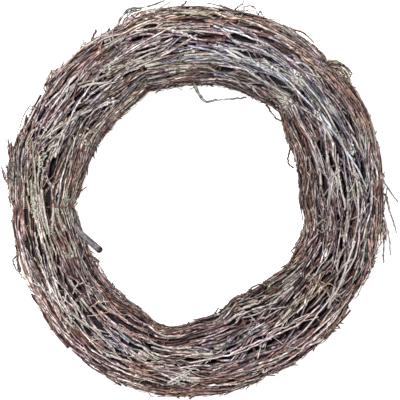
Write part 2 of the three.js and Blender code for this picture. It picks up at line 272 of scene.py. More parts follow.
# the twigs of one bunch; depth is 1 at the outline of the section
twigKinds = {
    "inner": {"strands": 7, "twigs": 5, "radius": (1.4, 2.2), "length": (90, 150), "depth": (0.66, 0.86),
              "crossing": 5, "sides": 4, "over": 0, "kink": 5, "free": 0},
    "stout": {"strands": 9, "twigs": 5, "radius": (1.4, 2.1), "length": (60, 145), "depth": (0.84, 0.97),
              "crossing": 8, "sides": 6, "over": 0.4, "kink": 6, "free": 0.15},
    "middling": {"strands": 18, "twigs": 9, "radius": (0.95, 1.65), "length": (26, 96), "depth": (0.86, 1.0),
                 "crossing": 11, "sides": 5, "over": 0.8, "kink": 12, "free": 0.35},
    "fine": {"strands": 14, "twigs": 4, "radius": (0.5, 0.85), "length": (16, 62), "depth": (0.92, 1.03),
             "crossing": 16, "sides": 4, "over": 0.97, "kink": 15, "free": 0.5},
}
twigShape = {
    "points": 18,
    "taper": 0.4,           # how much thinner the tip is
    "strandTurn": 7,        # spread of a strand round the section
    "strandSlide": 6,       # along the ring
    "strandCross": 2.5,     # and in how its twigs cross
    "lonely": 0.25,         # share of twigs that lie on their own
    "lonelyCross": 1.2,
    "straight": (0.3, 1.0),
    "acrossLeast": 0.4,     # share of a crossing that also shows on the edges of the ring
    "kinkShare": 0.22,      # share of points where a twig bends sharply
    "faintKink": 0.12,      # and how little it bends at the others
    "springBack": 0.12,     # how soon a bend is bent back
    "nip": 1.4,             # how far a tie presses the twigs in
    "bareNip": 2.8,         # and the one tie that shows
    "overNip": 0.08,        # share of that for twigs laid over the wire
    "bareAcross": (-0.15, 0.7),     # outside this stretch none is laid over the bare tie
    "nipReach": 2.4,        # degrees
    "play": 0.02,           # how far a twig may move outwards
    "freeFrom": 0.6,        # share of the length from which a free tip stands off
    "freeReach": 0.13,      # how far it does
    "ownBark": 0.45,        # share of twigs whose bark isn't that of their strand
    "deepest": 0.9,         # twigs that lie all below this are inner ones
}
# more warm bark at the edges of the ring, and no cool bark underneath
barkLie = {"edgeFrom": 0.55, "edgeTo": 0.95, "edgeWarm": 0.75, "coolFrom": -0.3}


def drawTwigs(kind):
    # where the middle of every twig of one kind lies, in strands of twigs that keep together
    strandCount = bunchCount * kind["strands"]
    strandBunch = np.arange(strandCount) // kind["strands"]
    strandAngle = ties[strandBunch] + draw.uniform(0, 1, strandCount) * spans[strandBunch]
    strandTurn = np.arange(strandCount) % kind["strands"] + draw.uniform(0, 1, strandCount)
    strandTurn = 360 * strandTurn / kind["strands"]
    strandCross = draw.normal(0, kind["crossing"], strandCount)
    strand = np.repeat(np.arange(strandCount), kind["twigs"])
    bunch = strandBunch[strand]
    count = len(bunch)
    alone = draw.uniform(size=count) < twigShape["lonely"]
    angle = np.where(alone, ties[bunch] + draw.uniform(0, 1, count) * spans[bunch],
                     strandAngle[strand] + draw.normal(0, twigShape["strandSlide"], count))
    turn = np.where(alone, draw.uniform(0, 360, count),
                    strandTurn[strand] + draw.normal(0, twigShape["strandTurn"], count))
    crossing = np.where(alone, draw.normal(0, kind["crossing"] * twigShape["lonelyCross"], count),
                        strandCross[strand] + draw.normal(0, twigShape["strandCross"], count))
    length = draw.uniform(*kind["length"], count) * np.array(ring["twigLength"])[bunch]
    radius = draw.uniform(*kind["radius"], count)
    depth = draw.uniform(*kind["depth"], count)
    over = draw.uniform(size=count) < kind["over"]
    across, up = [part * depth for part in onOutline(np.radians(turn))]
    return {"strand": strand, "bunch": bunch, "alone": alone, "angle": angle, "turn": np.radians(turn),
            "slope": np.tan(np.radians(crossing * np.array(ring["jumble"])[bunch])), "length": length,
            "radius": radius, "depth": depth, "over": over, "across": across, "up": up}


def bendTwigs(kind, lie):
    # the run of every twig, as angle, across and up at its points
    count, points = len(lie["angle"]), twigShape["points"]
    reach = np.linspace(-0.5, 0.5, points) * lie["length"][:, None]
    inner, outer, low, high = sectionAt(lie["angle"])
    wide, tall = (outer - inner) / 2, (high - low) / 2
    middle = (inner + outer) / 2 + lie["across"] * wide
    straight = draw.uniform(*twigShape["straight"], count)
    # a crossing twig moves across on the face and up or down on the edges of the ring
    sideways = lie["slope"] * np.maximum(np.abs(np.sin(lie["turn"])), twigShape["acrossLeast"]) / wide
    across = lie["across"][:, None] + sideways[:, None] * reach \
        + (straight / (2 * middle * wide))[:, None] * reach ** 2
    up = lie["up"][:, None] + (lie["slope"] * np.cos(lie["turn"]) / tall)[:, None] * reach
    heading = np.radians(draw.normal(0, kind["kink"], (count, points, 2)))
    sharp = draw.uniform(size=(count, points, 1)) < twigShape["kinkShare"]
    heading *= np.where(sharp, 1, twigShape["faintKink"])
    for k in range(1, points):
        heading[:, k] += (1 - twigShape["springBack"]) * heading[:, k - 1]
    kinks = np.cumsum(heading, axis=1) * (lie["length"] / points)[:, None, None]
    ends = np.linspace(0, 1, points)[None, :, None]
    kinks -= kinks[:, :1] * (1 - ends) + kinks[:, -1:] * ends
    across += kinks[..., 0] / wide[:, None]
    up += kinks[..., 1] / tall[:, None]
    return lie["angle"][:, None] + np.degrees(reach / middle[:, None]), across, up, wide


def bindTwigs(kind, lie, run, fromButt, thick):
    # a tie presses in the twigs under it, and a free tip stands off the bunch
    angle, across, up, wide = run
    gaps = np.abs(turnFrom(angle[..., None], ties))
    atBare = gaps.argmin(axis=-1) == ring["bareTie"]
    nip = np.where(atBare, twigShape["bareNip"], twigShape["nip"]) / wide[:, None] \
        * np.exp(-(gaps.min(axis=-1) / twigShape["nipReach"]) ** 2)
    low, high = twigShape["bareAcross"]
    bare = atBare & ((lie["across"] < low) | (lie["across"] > high))[:, None]
    above = lie["over"][:, None] & ~bare
    limit = np.minimum(lie["depth"] + twigShape["play"], 1)[:, None] \
        - np.where(above, twigShape["overNip"], 1) * nip
    free = (draw.uniform(size=len(thick)) < kind["free"]) * draw.uniform(0.25, 1, len(thick))
    stand = free[:, None] * twigShape["freeReach"] * ramp(fromButt, twigShape["freeFrom"], 1) ** 1.5
    path = outOfSection(angle, across * (1 + stand), up * (1 + stand), thick)
    return keepInside(path, thick, limit + stand), limit + stand


def pickBarks(lie, middle):
    # a bark for every twig by the zones that it lies in; most twigs of a strand have the same one
    zones = {zone: nearPlaces(middle, zone) for zone in ("warm", "tan", "red", "cool")}
    edge = ramp(np.abs(lie["across"]), barkLie["edgeFrom"], barkLie["edgeTo"])
    zones["warm"] = np.clip(zones["warm"] + barkLie["edgeWarm"] * edge, 0, 1)
    zones["cool"] *= lie["up"] > barkLie["coolFrom"]
    count = len(middle)
    shared = draw.uniform(0, 1, lie["strand"].max() + 1)
    own = lie["alone"] | (draw.uniform(size=count) < twigShape["ownBark"])
    steady = np.where(own, draw.uniform(0, 1, count), shared[lie["strand"]])
    mixed = np.tile(barkOdds["open"], (count, 1))
    for zone, share in zones.items():
        mixed += (barkOdds[zone] - mixed) * share[:, None]
    picked = (np.cumsum(mixed, axis=1) < steady[:, None]).sum(axis=1)
    return np.minimum(picked, len(barks) - 1)


def layTwigs(kind):
    # lays the twigs of one kind round the whole ring and returns their paths with all that is known of them
    lie = drawTwigs(kind)
    run = bendTwigs(kind, lie)
    count = len(lie["angle"])
    share = np.linspace(0, 1, twigShape["points"])
    fromButt = np.where(draw.uniform(size=(count, 1)) < 0.5, share, 1 - share)
    thick = lie["radius"][:, None] * (1 - twigShape["taper"] * fromButt)
    path, limit = bindTwigs(kind, lie, run, fromButt, thick)
    return {"path": path, "radius": thick, "limit": limit, "bunch": lie["bunch"],
            "bark": pickBarks(lie, path[:, twigShape["points"] // 2]),
            "sides": np.full(count, kind["sides"]), "fromButt": fromButt, "length": lie["length"],
            "deep": np.full(count, kind["depth"][1] < twigShape["deepest"])}


def closePairs(places, reach):
    # pairs of points in the same or in touching cells of a grid
    cell = np.floor(places / reach).astype(np.int64)
    cell -= cell.min(axis=0)
    grid = cell.max(axis=0) + 3
    key = (cell[:, 0] * grid[1] + cell[:, 1]) * grid[2] + cell[:, 2]
    order = np.argsort(key, kind="stable")
    key = key[order]
    first, second = [], []
    steps = [(x, y, z) for x in (0, 1) for y in (-1, 0, 1) for z in (-1, 0, 1) if (x, y, z) >= (0, 0, 0)]
    for x, y, z in steps:
        step = (x * grid[1] + y) * grid[2] + z
        high = np.searchsorted(key, key + step, "right")
        low = np.arange(len(key)) + 1 if step == 0 else np.searchsorted(key, key + step, "left")
        number = np.maximum(high - low, 0)
        start = np.repeat(low - (np.cumsum(number) - number), number)
        first.append(order[np.repeat(np.arange(len(key)), number)])
        second.append(order[start + np.arange(number.sum())])
    return np.concatenate(first), np.concatenate(second)


settling = {
    "rounds": 5,            # times that the neighbours are looked for
    "steps": 4,
    "reach": 5.6,
    "overlap": 0.6,         # how far past the next point a point of a twig still pushes
    "give": 0.5,
    "furthest": 1.2,        # a point moves no further than this in a step
    "stiff": 3,             # times that the bends are softened in a step
}


def settleTwigs(twigs):
    # twigs that share a place push each other apart and stay inside the ring, as they do when they are bound
    path, radius = twigs["path"], twigs["radius"]
    count, points = radius.shape
    start = path.copy()
    owner = np.repeat(np.arange(count), points)
    half = np.repeat(twigs["length"] / (points - 1) / 2, points) + settling["overlap"]
    thick = radius.reshape(-1)
    for _ in range(settling["rounds"]):
        one, two = closePairs(path.reshape(-1, 3), settling["reach"])
        gap = path.reshape(-1, 3)[two] - path.reshape(-1, 3)[one]
        near = (owner[one] != owner[two]) & (np.einsum("ij,ij->i", gap, gap) < settling["reach"] ** 2)
        one, two = one[near], two[near]
        for _ in range(settling["steps"]):
            flat = path.reshape(-1, 3)
            way = unit(np.gradient(path, axis=1)).reshape(-1, 3)
            same = np.sign(np.einsum("ij,ij->i", way[one], way[two]))[:, None]
            mean = unit(way[one] + same * way[two])
            gap = flat[two] - flat[one]
            slide = np.einsum("ij,ij->i", gap, mean)
            side = gap - slide[:, None] * mean
            width = np.linalg.norm(side, axis=-1) + 1e-6
            push = thick[one] + thick[two] - width
            push = np.where((push > 0) & (np.abs(slide) < np.maximum(half[one], half[two])), push, 0)
            move = side / width[:, None] * (push * settling["give"])[:, None]
            total = np.zeros_like(flat)
            for axis in range(3):
                pushed, pushing = [np.bincount(end, move[:, axis], len(flat)) for end in (two, one)]
                total[:, axis] = pushed - pushing
            length = np.linalg.norm(total, axis=-1, keepdims=True)
            total *= np.minimum(1, settling["furthest"] / np.maximum(length, 1e-6))
            shift = path + total.reshape(path.shape) - start
            for _ in range(settling["stiff"]):
                shift = softened(shift)
            path = keepInside(start + shift, radius, twigs["limit"])
    twigs["path"] = path
    print("wreath: twigs settled,", int((push > 0.5).sum()), "of", len(push), "touches left deep")


# tubes: every twig, shoot, bud, crust and wire is one
tubeShape = {
    "capReach": 0.25,       # how far an end stands out, as a share of its radius
    "capFacing": 0.7,       # and how much painted light it gets, as the crest of a tube gets 1
    "mostLump": 2,          # lumps are cut off at this many times their spread
    "grainShift": 4000,     # each tube has its own stretch of the bark's pattern
    "stripCap": 0.8,        # room for an end on the unrolled strip
    "stripGap": 1.2,        # between two strips
    "stripSlack": 1.04,
}


class Tubes:
    # gathers tapered tubes and turns them into one mesh
    def __init__(self):
        self.values = {"place": [], "barkColour": [], "barkFacts": [], "barkPlace": [], "barkFacing": []}
        self.corners, self.lengths, self.strips = [], [], []
        self.offset = 0

    def frames(self, path):
        # directions along and across each tube that don't twist from ring to ring
        way = unit(np.gradient(path, axis=1))
        side = unit(np.cross(way[:, 0], (0.3, 0.2, 1.0)))
        sides = [side]
        for k in range(1, path.shape[1]):
            side = unit(side - (side * way[:, k]).sum(axis=-1, keepdims=True) * way[:, k])
            sides.append(side)
        side = np.stack(sides, axis=1)
        return way, side, np.cross(way, side)

    def keep(self, label, skin, ends):
        # values ring after ring of every tube, then those at its two ends
        tubes, width = len(skin), skin.shape[-1]
        block = np.concatenate([skin.reshape(tubes, -1, width), ends], axis=1)
        self.values[label].append(block.reshape(-1, width))

    def add(self, path, radius, colour, facts, sides, oval=0.1, seed=1, stray=False):
        # path, radius, colour and facts have three values for every point of every tube, radius has one;
        # what strays from the ring gets painted light from above and painted shade beneath, the rest painted
        # light on the side that faces out of the ring and painted shade on its other sides
        if not len(path):
            return
        own = np.random.default_rng(seed)
        tubes, points = radius.shape
        way, side, over = self.frames(path)
        turn = np.arange(sides) * 2 * math.pi / sides
        turns = turn + own.uniform(0, 6.28, (tubes, 1, 1))
        lumps = 1 + oval * np.cos(2 * turn + own.uniform(0, 6.28, (tubes, 1, 1)))
        most = tubeShape["mostLump"]
        lumps = lumps + oval * own.normal(0, 1, (tubes, points, sides)).clip(-most, most)
        around = np.cos(turns)[..., None] * side[:, :, None] + np.sin(turns)[..., None] * over[:, :, None]
        first = path[:, 0] - way[:, 0] * radius[:, :1] * tubeShape["capReach"]
        last = path[:, -1] + way[:, -1] * radius[:, -1:] * tubeShape["capReach"]
        self.keep("place", path[:, :, None] + around * (radius[..., None] * lumps)[..., None],
                  np.stack([first, last], axis=1))
        # the bark's pattern follows the tube, and each tube has its own stretch of it
        steps = np.linalg.norm(np.diff(path, axis=1), axis=-1)
        gone = np.concatenate([np.zeros((tubes, 1)), np.cumsum(steps, axis=1)], axis=1)
        shifted = (gone + own.uniform(0, tubeShape["grainShift"], (tubes, 1)))[..., None]
        grain = np.stack([np.cos(turns) * radius[..., None], np.sin(turns) * radius[..., None],
                          np.broadcast_to(shifted, lumps.shape)], axis=-1)
        self.keep("barkPlace", grain, shifted[:, [0, -1]] * (0, 0, 1))
        angle, across, up = intoSection(path, 0)
        angle = np.radians(angle)
        outward = unit(np.stack([np.cos(angle) * across, np.sin(angle) * across, up], axis=-1))
        # how the bark faces, which the painted highlight and painted shade of the bark follow
        facing = around[..., 2] if stray else (around * outward[:, :, None]).sum(axis=-1)
        self.keep("barkFacing", facing[..., None], np.full((tubes, 2, 1), tubeShape["capFacing"]))
        for label, values in (("barkColour", colour), ("barkFacts", facts)):
            self.keep(label, np.repeat(values[:, :, None], sides, axis=2), values[:, [0, -1]])
        self.addFaces(tubes, points, sides, gone, radius.mean(axis=1) * 2 * math.pi)

    def addFaces(self, tubes, points, sides, gone, wide):
        # quads between the rings and a fan at either end, with the place of every corner on its own strip
        k, s = [part.ravel() for part in np.meshgrid(np.arange(points - 1), np.arange(sides), indexing="ij")]
        beside, near, far = (s + 1) % sides, k * sides, (k + 1) * sides
        quads = np.stack([near + s, near + beside, far + beside, far + s], 1)
        rim = np.arange(sides)
        nextRim = (rim + 1) % sides
        last, centre = (points - 1) * sides, points * sides
        startCap = np.stack([np.full(sides, centre), nextRim, rim], 1)
        endCap = np.stack([np.full(sides, centre + 1), last + rim, last + nextRim], 1)
        pattern = np.concatenate([quads.ravel(), startCap.ravel(), endCap.ravel()])
        base = self.offset + np.arange(tubes)[:, None] * (centre + 2)
        self.corners.append((base + pattern).ravel())
        self.lengths.append(np.tile(np.concatenate([np.full(len(quads), 4), np.full(2 * sides, 3)]), tubes))
        self.offset += tubes * (centre + 2)
        # along the tube and round it, in millimetres
        cap = tubeShape["stripCap"]
        along = np.concatenate([
            np.stack([gone[:, k], gone[:, k], gone[:, k + 1], gone[:, k + 1]], -1).reshape(tubes, -1) + cap,
            np.tile(np.tile([0.0, cap, cap], sides), (tubes, 1)),
            np.tile(np.tile([cap, 0.0, 0.0], sides), (tubes, 1)) + cap + gone[:, -1:],
        ], axis=1)
        around = np.concatenate([
            np.stack([s, s + 1, s + 1, s], -1).ravel(),
            np.stack([rim + 0.5, rim + 1, rim], -1).ravel(),
            np.stack([rim + 0.5, rim, rim + 1], -1).ravel(),
        ]) / sides * wide[:, None]
        self.strips.append((along, around, gone[:, -1] + 2 * cap, wide))

    def mesh(self, name):
        places = np.concatenate(self.values["place"]) * mm
        places[:, 2] = np.maximum(places[:, 2], 0.0)
        corners, lengths = np.concatenate(self.corners), np.concatenate(self.lengths)
        mesh = bpy.data.meshes.new(name)
        mesh.vertices.add(len(places))
        mesh.vertices.foreach_set("co", places.astype(np.float32).ravel())
        mesh.loops.add(len(corners))
        mesh.loops.foreach_set("vertex_index", corners.astype(np.int32))
        mesh.polygons.add(len(lengths))
        mesh.polygons.foreach_set("loop_start", (np.cumsum(lengths) - lengths).astype(np.int32))
        mesh.polygons.foreach_set("loop_total", lengths.astype(np.int32))
        mesh.polygons.foreach_set("use_smooth", lengths == 4)
        for label in ("barkColour", "barkFacts", "barkPlace"):
            layer = mesh.attributes.new(label, "FLOAT_VECTOR", "POINT")
            layer.data.foreach_set("vector", np.concatenate(self.values[label]).astype(np.float32).ravel())
        layer = mesh.attributes.new("barkFacing", "FLOAT", "POINT")
        layer.data.foreach_set("value", np.concatenate(self.values["barkFacing"]).astype(np.float32).ravel())
        strips = packStrips(self.strips).astype(np.float32)
        mesh.uv_layers.new(name="OFBake").data.foreach_set("uv", strips.ravel())
        mesh.update(calc_edges=True)
        return mesh


def packStrips(strips):
    # lays the unrolled tubes in rows on a square, widest first, and returns each corner's place on it
    gap = tubeShape["stripGap"]
    long = np.concatenate([s[2] for s in strips]) + gap
    wide = np.concatenate([s[3] for s in strips]) + gap
    side = math.sqrt((long * wide).sum() * tubeShape["stripSlack"]) + long.max() / 2
    x, y, rowHeight = 0.0, 0.0, 0.0
    at = np.zeros((len(long), 2))
    for i in np.argsort(-wide):
        if x + long[i] > side:
            x, y, rowHeight = 0.0, y + rowHeight, 0.0
        at[i] = x, y
        rowHeight = max(rowHeight, wide[i])
        x += long[i]
    square = max(side, y + rowHeight) * 1.01
    placed, done = [], 0
    for along, around, _, _ in strips:
        own = at[done:done + len(along)] + gap / 2
        done += len(along)
        placed.append(np.stack([along + own[:, :1], around + own[:, 1:]], axis=-1).reshape(-1, 2))
    return np.concatenate(placed) / square


class Socket:
    # one output of a shader node; sums of sockets and numbers read like plain maths and add their nodes
    def __init__(self, tree, output=None):
        self.tree, self.output = tree, output

    def node(self, kind, settings, sockets, result=0):
        made = self.tree.nodes.new(kind)
        for name, value in settings.items():
            setattr(made, name, value)
        for name, value in sockets.items():
            socket = made.inputs[name]
            if isinstance(value, Socket):
                self.tree.links.new(value.output, socket)
            elif isinstance(value, tuple) and socket.type == "RGBA":
                socket.default_value = (*value, 1)
            else:
                socket.default_value = value
        return Socket(self.tree, made.outputs[result])

    def join(self, operation, first, second):
        # a Math node would turn a colour grey
        many = any(isinstance(x, tuple) or isinstance(x, Socket) and x.output.type in ("RGBA", "VECTOR")
                   for x in (first, second))
        if many:
            first, second = [(x, x, x) if isinstance(x, (int, float)) else x for x in (first, second)]
        kind = "ShaderNodeVectorMath" if many else "ShaderNodeMath"
        return self.node(kind, {"operation": operation}, {0: first, 1: second})

    def __add__(self, other):
        return self.join("ADD", self, other)

    def __radd__(self, other):
        return self.join("ADD", other, self)

    def __sub__(self, other):
        return self.join("SUBTRACT", self, other)

    def __rsub__(self, other):
        return self.join("SUBTRACT", other, self)

    def __mul__(self, other):
        return self.join("MULTIPLY", self, other)

    def __rmul__(self, other):
        return self.join("MULTIPLY", other, self)

    def __truediv__(self, other):
        return self.join("DIVIDE", self, other)

    def clear(self, low, high):
        # 0 below low, 1 above high and smooth between
        return self.node("ShaderNodeMapRange", {"interpolation_type": "SMOOTHSTEP"},
                         {"Value": self, "From Min": low, "From Max": high})

    def noise(self, detail, roughness):
        return self.node("ShaderNodeTexNoise", {}, {"Vector": self, "Scale": 1.0, "Detail": detail,
                                                    "Roughness": roughness})

    def between(self, first, second):
        # the first colour where this is 0 and the second where it is 1
        first, second = [x if isinstance(x, Socket) else tuple(linear(x)) for x in (first, second)]
        return self.node("ShaderNodeMix", {"data_type": "RGBA"}, {0: self, 6: first, 7: second}, 2)

    def layer(self, name, result=1):
        # what the tubes know of themselves at this point
        return self.node("ShaderNodeAttribute", {"attribute_name": name}, {}, result)

    def bump(self, strength, distance):
        return self.node("ShaderNodeBump", {}, {"Strength": strength, "Distance": distance, "Height": self})


def startMaterial(name):
    material = bpy.data.materials.new(name)
    material.use_nodes = True
    return material, Socket(material.node_tree)


def finishMaterial(material, links, fixed):
    shader = material.node_tree.nodes["Principled BSDF"]
    for name, value in links.items():
        material.node_tree.links.new(value.output, shader.inputs[name])
    for name, value in fixed.items():
        shader.inputs[name].default_value = value


barkLook = {
    # patterns: how fine they are across the twig, twice, and along it, then their detail and roughness
    "fibres": ((1.05, 1.05, 0.11), 3.0, 0.6),
    "mottle": ((0.45, 0.45, 0.26), 4.0, 0.65),
    "pores": ((1.1, 1.1, 2.1), 1.0, 0.5),
    "patches": ((0.9, 0.9, 0.6), 3.0, 0.65),
    "patchShift": (37.0, 11.0, 5.0),
    "shade": (0.24, 2.14),          # in the furrows of the bark and on its ridges
    "ridges": (0.47, 0.74),
    "pitted": (0.6, 1.32),          # in a pore and beside it
    "pitEdge": (0.38, 0.62),
    "bleached": (187, 179, 175),
    "bleach": 0.8,
    "dried": (0.74, 1.08),
    "lichen": (160, 154, 138),
    "lichenPale": (212, 208, 198),
    "crust": 0.85,
    "crustEdge": (0.86, 1.05),
    "crustPores": (0.42, 0.62),
    "knot": (62, 44, 40),
    "knotDark": 0.7,
    "paintedCrestLight": 1.35,                  # painted light on the side that faces out of the ring
    "paintedFlankShade": 0.2,                   # and painted shade on the sides that don't
    "turned": (0.2, 0.93),
    "gain": (1.225, 1.205, 1.185),  # the lightest bark is held back, so that it doesn't burn out
    "shoulder": 0.62,
    "roughness": 0.58,
    "lichenRough": 0.3,
    "mottleRough": 0.16,
    "gloss": 0.3,
    "innerGloss": 0.2,
    "ior": 1.45,
    "fibreDepth": 0.55,
    "poreDepth": 0.25,
    "lichenDepth": 1.2,
    "bump": 0.45,
    "bumpDistance": 0.0008,
}


def makeBark(name, dark=1.0, bump=True):
    look = barkLook
    material, start = startMaterial(name)
    place, facts = start.layer("barkPlace"), start.layer("barkFacts")
    weather, lichen, knot = [facts.node("ShaderNodeSeparateXYZ", {}, {0: facts}, part) for part in range(3)]
    fibres, mottle, pores = [(place * fineness).noise(detail, roughness) for fineness, detail, roughness in
                             (look["fibres"], look["mottle"], look["pores"])]
    fineness, detail, roughness = look["patches"]
    patches = (place * fineness + look["patchShift"]).noise(detail, roughness)
    low, high = look["shade"]
    grain = (fibres * 0.65 + mottle * 0.6 - 0.02).clear(*look["ridges"])
    colour = start.layer("barkColour") * ((high - low) * grain + low)
    bleach = (mottle * 0.8 + fibres * 0.35 + weather).clear(*look["dried"])
    colour = (bleach * look["bleach"]).between(colour, look["bleached"])
    low, high = look["pitted"]
    colour = colour * (low + (high - low) * pores.clear(*look["pitEdge"]))
    lichen = (lichen * 0.95 + patches).clear(*look["crustEdge"])
    crust = pores.clear(*look["crustPores"]).between(look["lichen"], look["lichenPale"])
    colour = (lichen * look["crust"]).between(colour, crust)
    colour = (knot * look["knotDark"]).between(colour, look["knot"])
    # painted highlight along each twig's outward crest and painted shade on its flanks
    facing = start.layer("barkFacing", 2).clear(*look["turned"])
    # dark lowers the whole bark as painted shade, for the twigs and cores deep in the bunches
    colour = colour * (dark * look["paintedFlankShade"] + dark * (look["paintedCrestLight"] - look["paintedFlankShade"]) * facing)
    colour = colour * look["gain"] / (1 + colour * look["shoulder"])
    rough = look["roughness"] + look["lichenRough"] * lichen + look["mottleRough"] * mottle
    links = {"Base Color": colour, "Roughness": rough}
    if bump:
        height = fibres * look["fibreDepth"] + pores * look["poreDepth"]
        height = height + lichen * pores * look["lichenDepth"]
        links["Normal"] = height.bump(look["bump"], look["bumpDistance"])
    gloss = look["gloss"] if bump else look["innerGloss"]
    finishMaterial(material, links, {"Specular IOR Level": gloss, "IOR": look["ior"]})
    return material


bark = makeBark("twig_bark")
# the inner twigs and the cores get bark darkened by painted shade, as they lie deep in the bunches
shadedBark = makeBark("inner_twig_bark_painted_shade", dark=0.7, bump=False)
print("wreath: bark mixed")

# all the twigs, settled against each other
sets = [layTwigs(kind) for kind in twigKinds.values()]
twigs = {key: np.concatenate([s[key] for s in sets]) for key in sets[0]}
settleTwigs(twigs)

# dark lens-shaped gaps where the bunches part on the face: x and y of the middle, length, width and the
# turn away from the line of the ring
partings = [
    (43, 160, 34, 5, -4), (51, 143, 22, 4, -6), (60, 122, 16, 3.5, 0), (86, 108, 24, 4.5, -8),
    (134, 76, 26, 5, -6), (145, 60, 20, 4, -8), (121, 52, 22, 4.5, -3), (160, 30, 30, 4.5, -4),
    (155, 12, 22, 2.6, 0), (-60, 160, 26, 3, 4), (-48, 172, 16, 3, 8), (131, 36, 24, 3.6, -4),
    (-157, 70, 22, 4, -4), (-146, 34, 26, 3.6, -3), (-151, -4, 46, 5.5, -3), (-172, -16, 18, 3, 0),
    (-143, -52, 26, 3, 4), (-122, -84, 20, 2.6, -4), (-96, -118, 20, 2.6, 8), (-62, -146, 20, 2.6, -6),
    (-8, -158, 24, 2.8, 9), (30, -146, 20, 2.6, -9), (58, -137, 20, 2.8, 9), (88, -120, 20, 2.8, -8),
    (99, -82, 16, 2.6, 8), (139, -62, 20, 2.8, -6), (150, -24, 26, 3.2, 3), (124, 14, 24, 4, 0),
    (24, 130, 26, 3.5, -6), (44, 119, 18, 3, -6), (73, 119, 30, 3.5, -8), (7, 149, 24, 3, -4),
    (6, 161, 24, 3, -2), (154, 36, 22, 3.5, -4),
]
gapShape = {
    "more": 68,             # gaps at random places
    "length": (9, 21),
    "width": (1.3, 2.4),
    "turn": 9,
    "across": 0.75,
    "steep": 0.6,
    "upFrom": 0.1,          # twigs move from here up, and all the way from upTo
    "upTo": 0.5,
    "deepShare": 0.35,      # inner twigs move by this share
    "past": 1.5,            # widths past the middle at which nothing moves any more
}


def listGaps(own):
    # every gap as its angle, distance from the ring's centre, length, width and turn
    gaps = []
    for x, y, *rest in partings:
        angle, distance = toPolar(np.array([x, y], float))
        gaps.append((angle, distance, *rest))
    for _ in range(gapShape["more"]):
        angle = own.uniform(0, 360)
        inner, outer, _, _ = sectionAt(np.array(angle))
        distance = (inner + outer) / 2 + own.uniform(-1, 1) * gapShape["across"] * (outer - inner) / 2
        gaps.append((angle, distance, own.uniform(*gapShape["length"]), own.uniform(*gapShape["width"]),
                     own.normal(0, gapShape["turn"])))
    return gaps


def partTwigs(twigs):
    # moves the twigs aside at every gap; each stays on one side of it
    path = twigs["path"]
    _, _, up = intoSection(path, 0)
    facing = ramp(up, gapShape["upFrom"], gapShape["upTo"])
    facing = facing * np.where(twigs["deep"], gapShape["deepShare"], 1)[:, None]
    for at, distance, length, width, turn in listGaps(np.random.default_rng(19)):
        angle, out = toPolar(path)
        along = np.radians(turnFrom(angle, at)) * distance
        out = out - distance
        cosTurn, sinTurn = math.cos(math.radians(turn)), math.sin(math.radians(turn))
        past, beside = along * cosTurn + out * sinTurn, out * cosTurn - along * sinTurn
        window = np.clip(1 - (2 * past / length) ** 2, 0, 1) ** gapShape["steep"]
        side = np.sign((beside * window).sum(axis=1) + 1e-9)[:, None]
        beside = beside * side
        reach = np.clip(gapShape["past"] - np.abs(beside) / width, 0, 1)
        move = window * facing * reach * np.clip(width - beside, 0, None) * side
        path = fromPolar(np.radians(at) + (along - move * sinTurn) / distance,
                         out + distance + move * cosTurn, path[..., 2])
    twigs["path"] = path


partTwigs(twigs)
print("wreath: twigs parted at", len(partings) + gapShape["more"], "gaps")

# how much darker and bluer the bark is deep in a bunch, as painted shade, and how much the twigs differ
tone = {
    "from": 0.78,           # as dark as the painted shade gets below this share of the section
    "to": 0.965,
    "deepShadeRed": (0.36, 0.26, 0.26),
    "deepShadeBlue": (0.22, 0.24, 0.32),
    "blueWave": 60,
    "spread": 0.34,         # from twig to twig
    "least": 0.5,
    "most": 1.16,
    "speckle": 0.42,        # from point to point
    "holeSideShade": 0.84,       # painted shade: how dark it is towards the hole
    "rim": 0.46,            # and how much lighter at the outer edge
    "edgeFrom": 0.5,
    "edgeTo": 0.9,
    "edgeEnd": 1.08,        # sprigs stand off past this
    "edgeWarm": 0.9,
    "light": 0.54,
    "dark": 0.46,
    "coolTint": (0.9, 0.92, 1.03),
    "warmTint": (1.04, 0.97, 0.92),
}
# what weather, lichen and knots do to the bark: what adds to each, the length of its waves, and how much it
# differs from twig to twig
ageing = {
    "weather": {"up": 0.18, "waves": 0.22, "wave": 45, "spread": 0.16, "edge": 0.22, "deep": 0.5},
    "lichen": {"near": 0.42, "waves": 0.26, "wave": 24, "spread": 0.2, "under": 0.3},
    "knot": {"mean": -0.9, "spread": 0.8, "swell": 0.22},
}


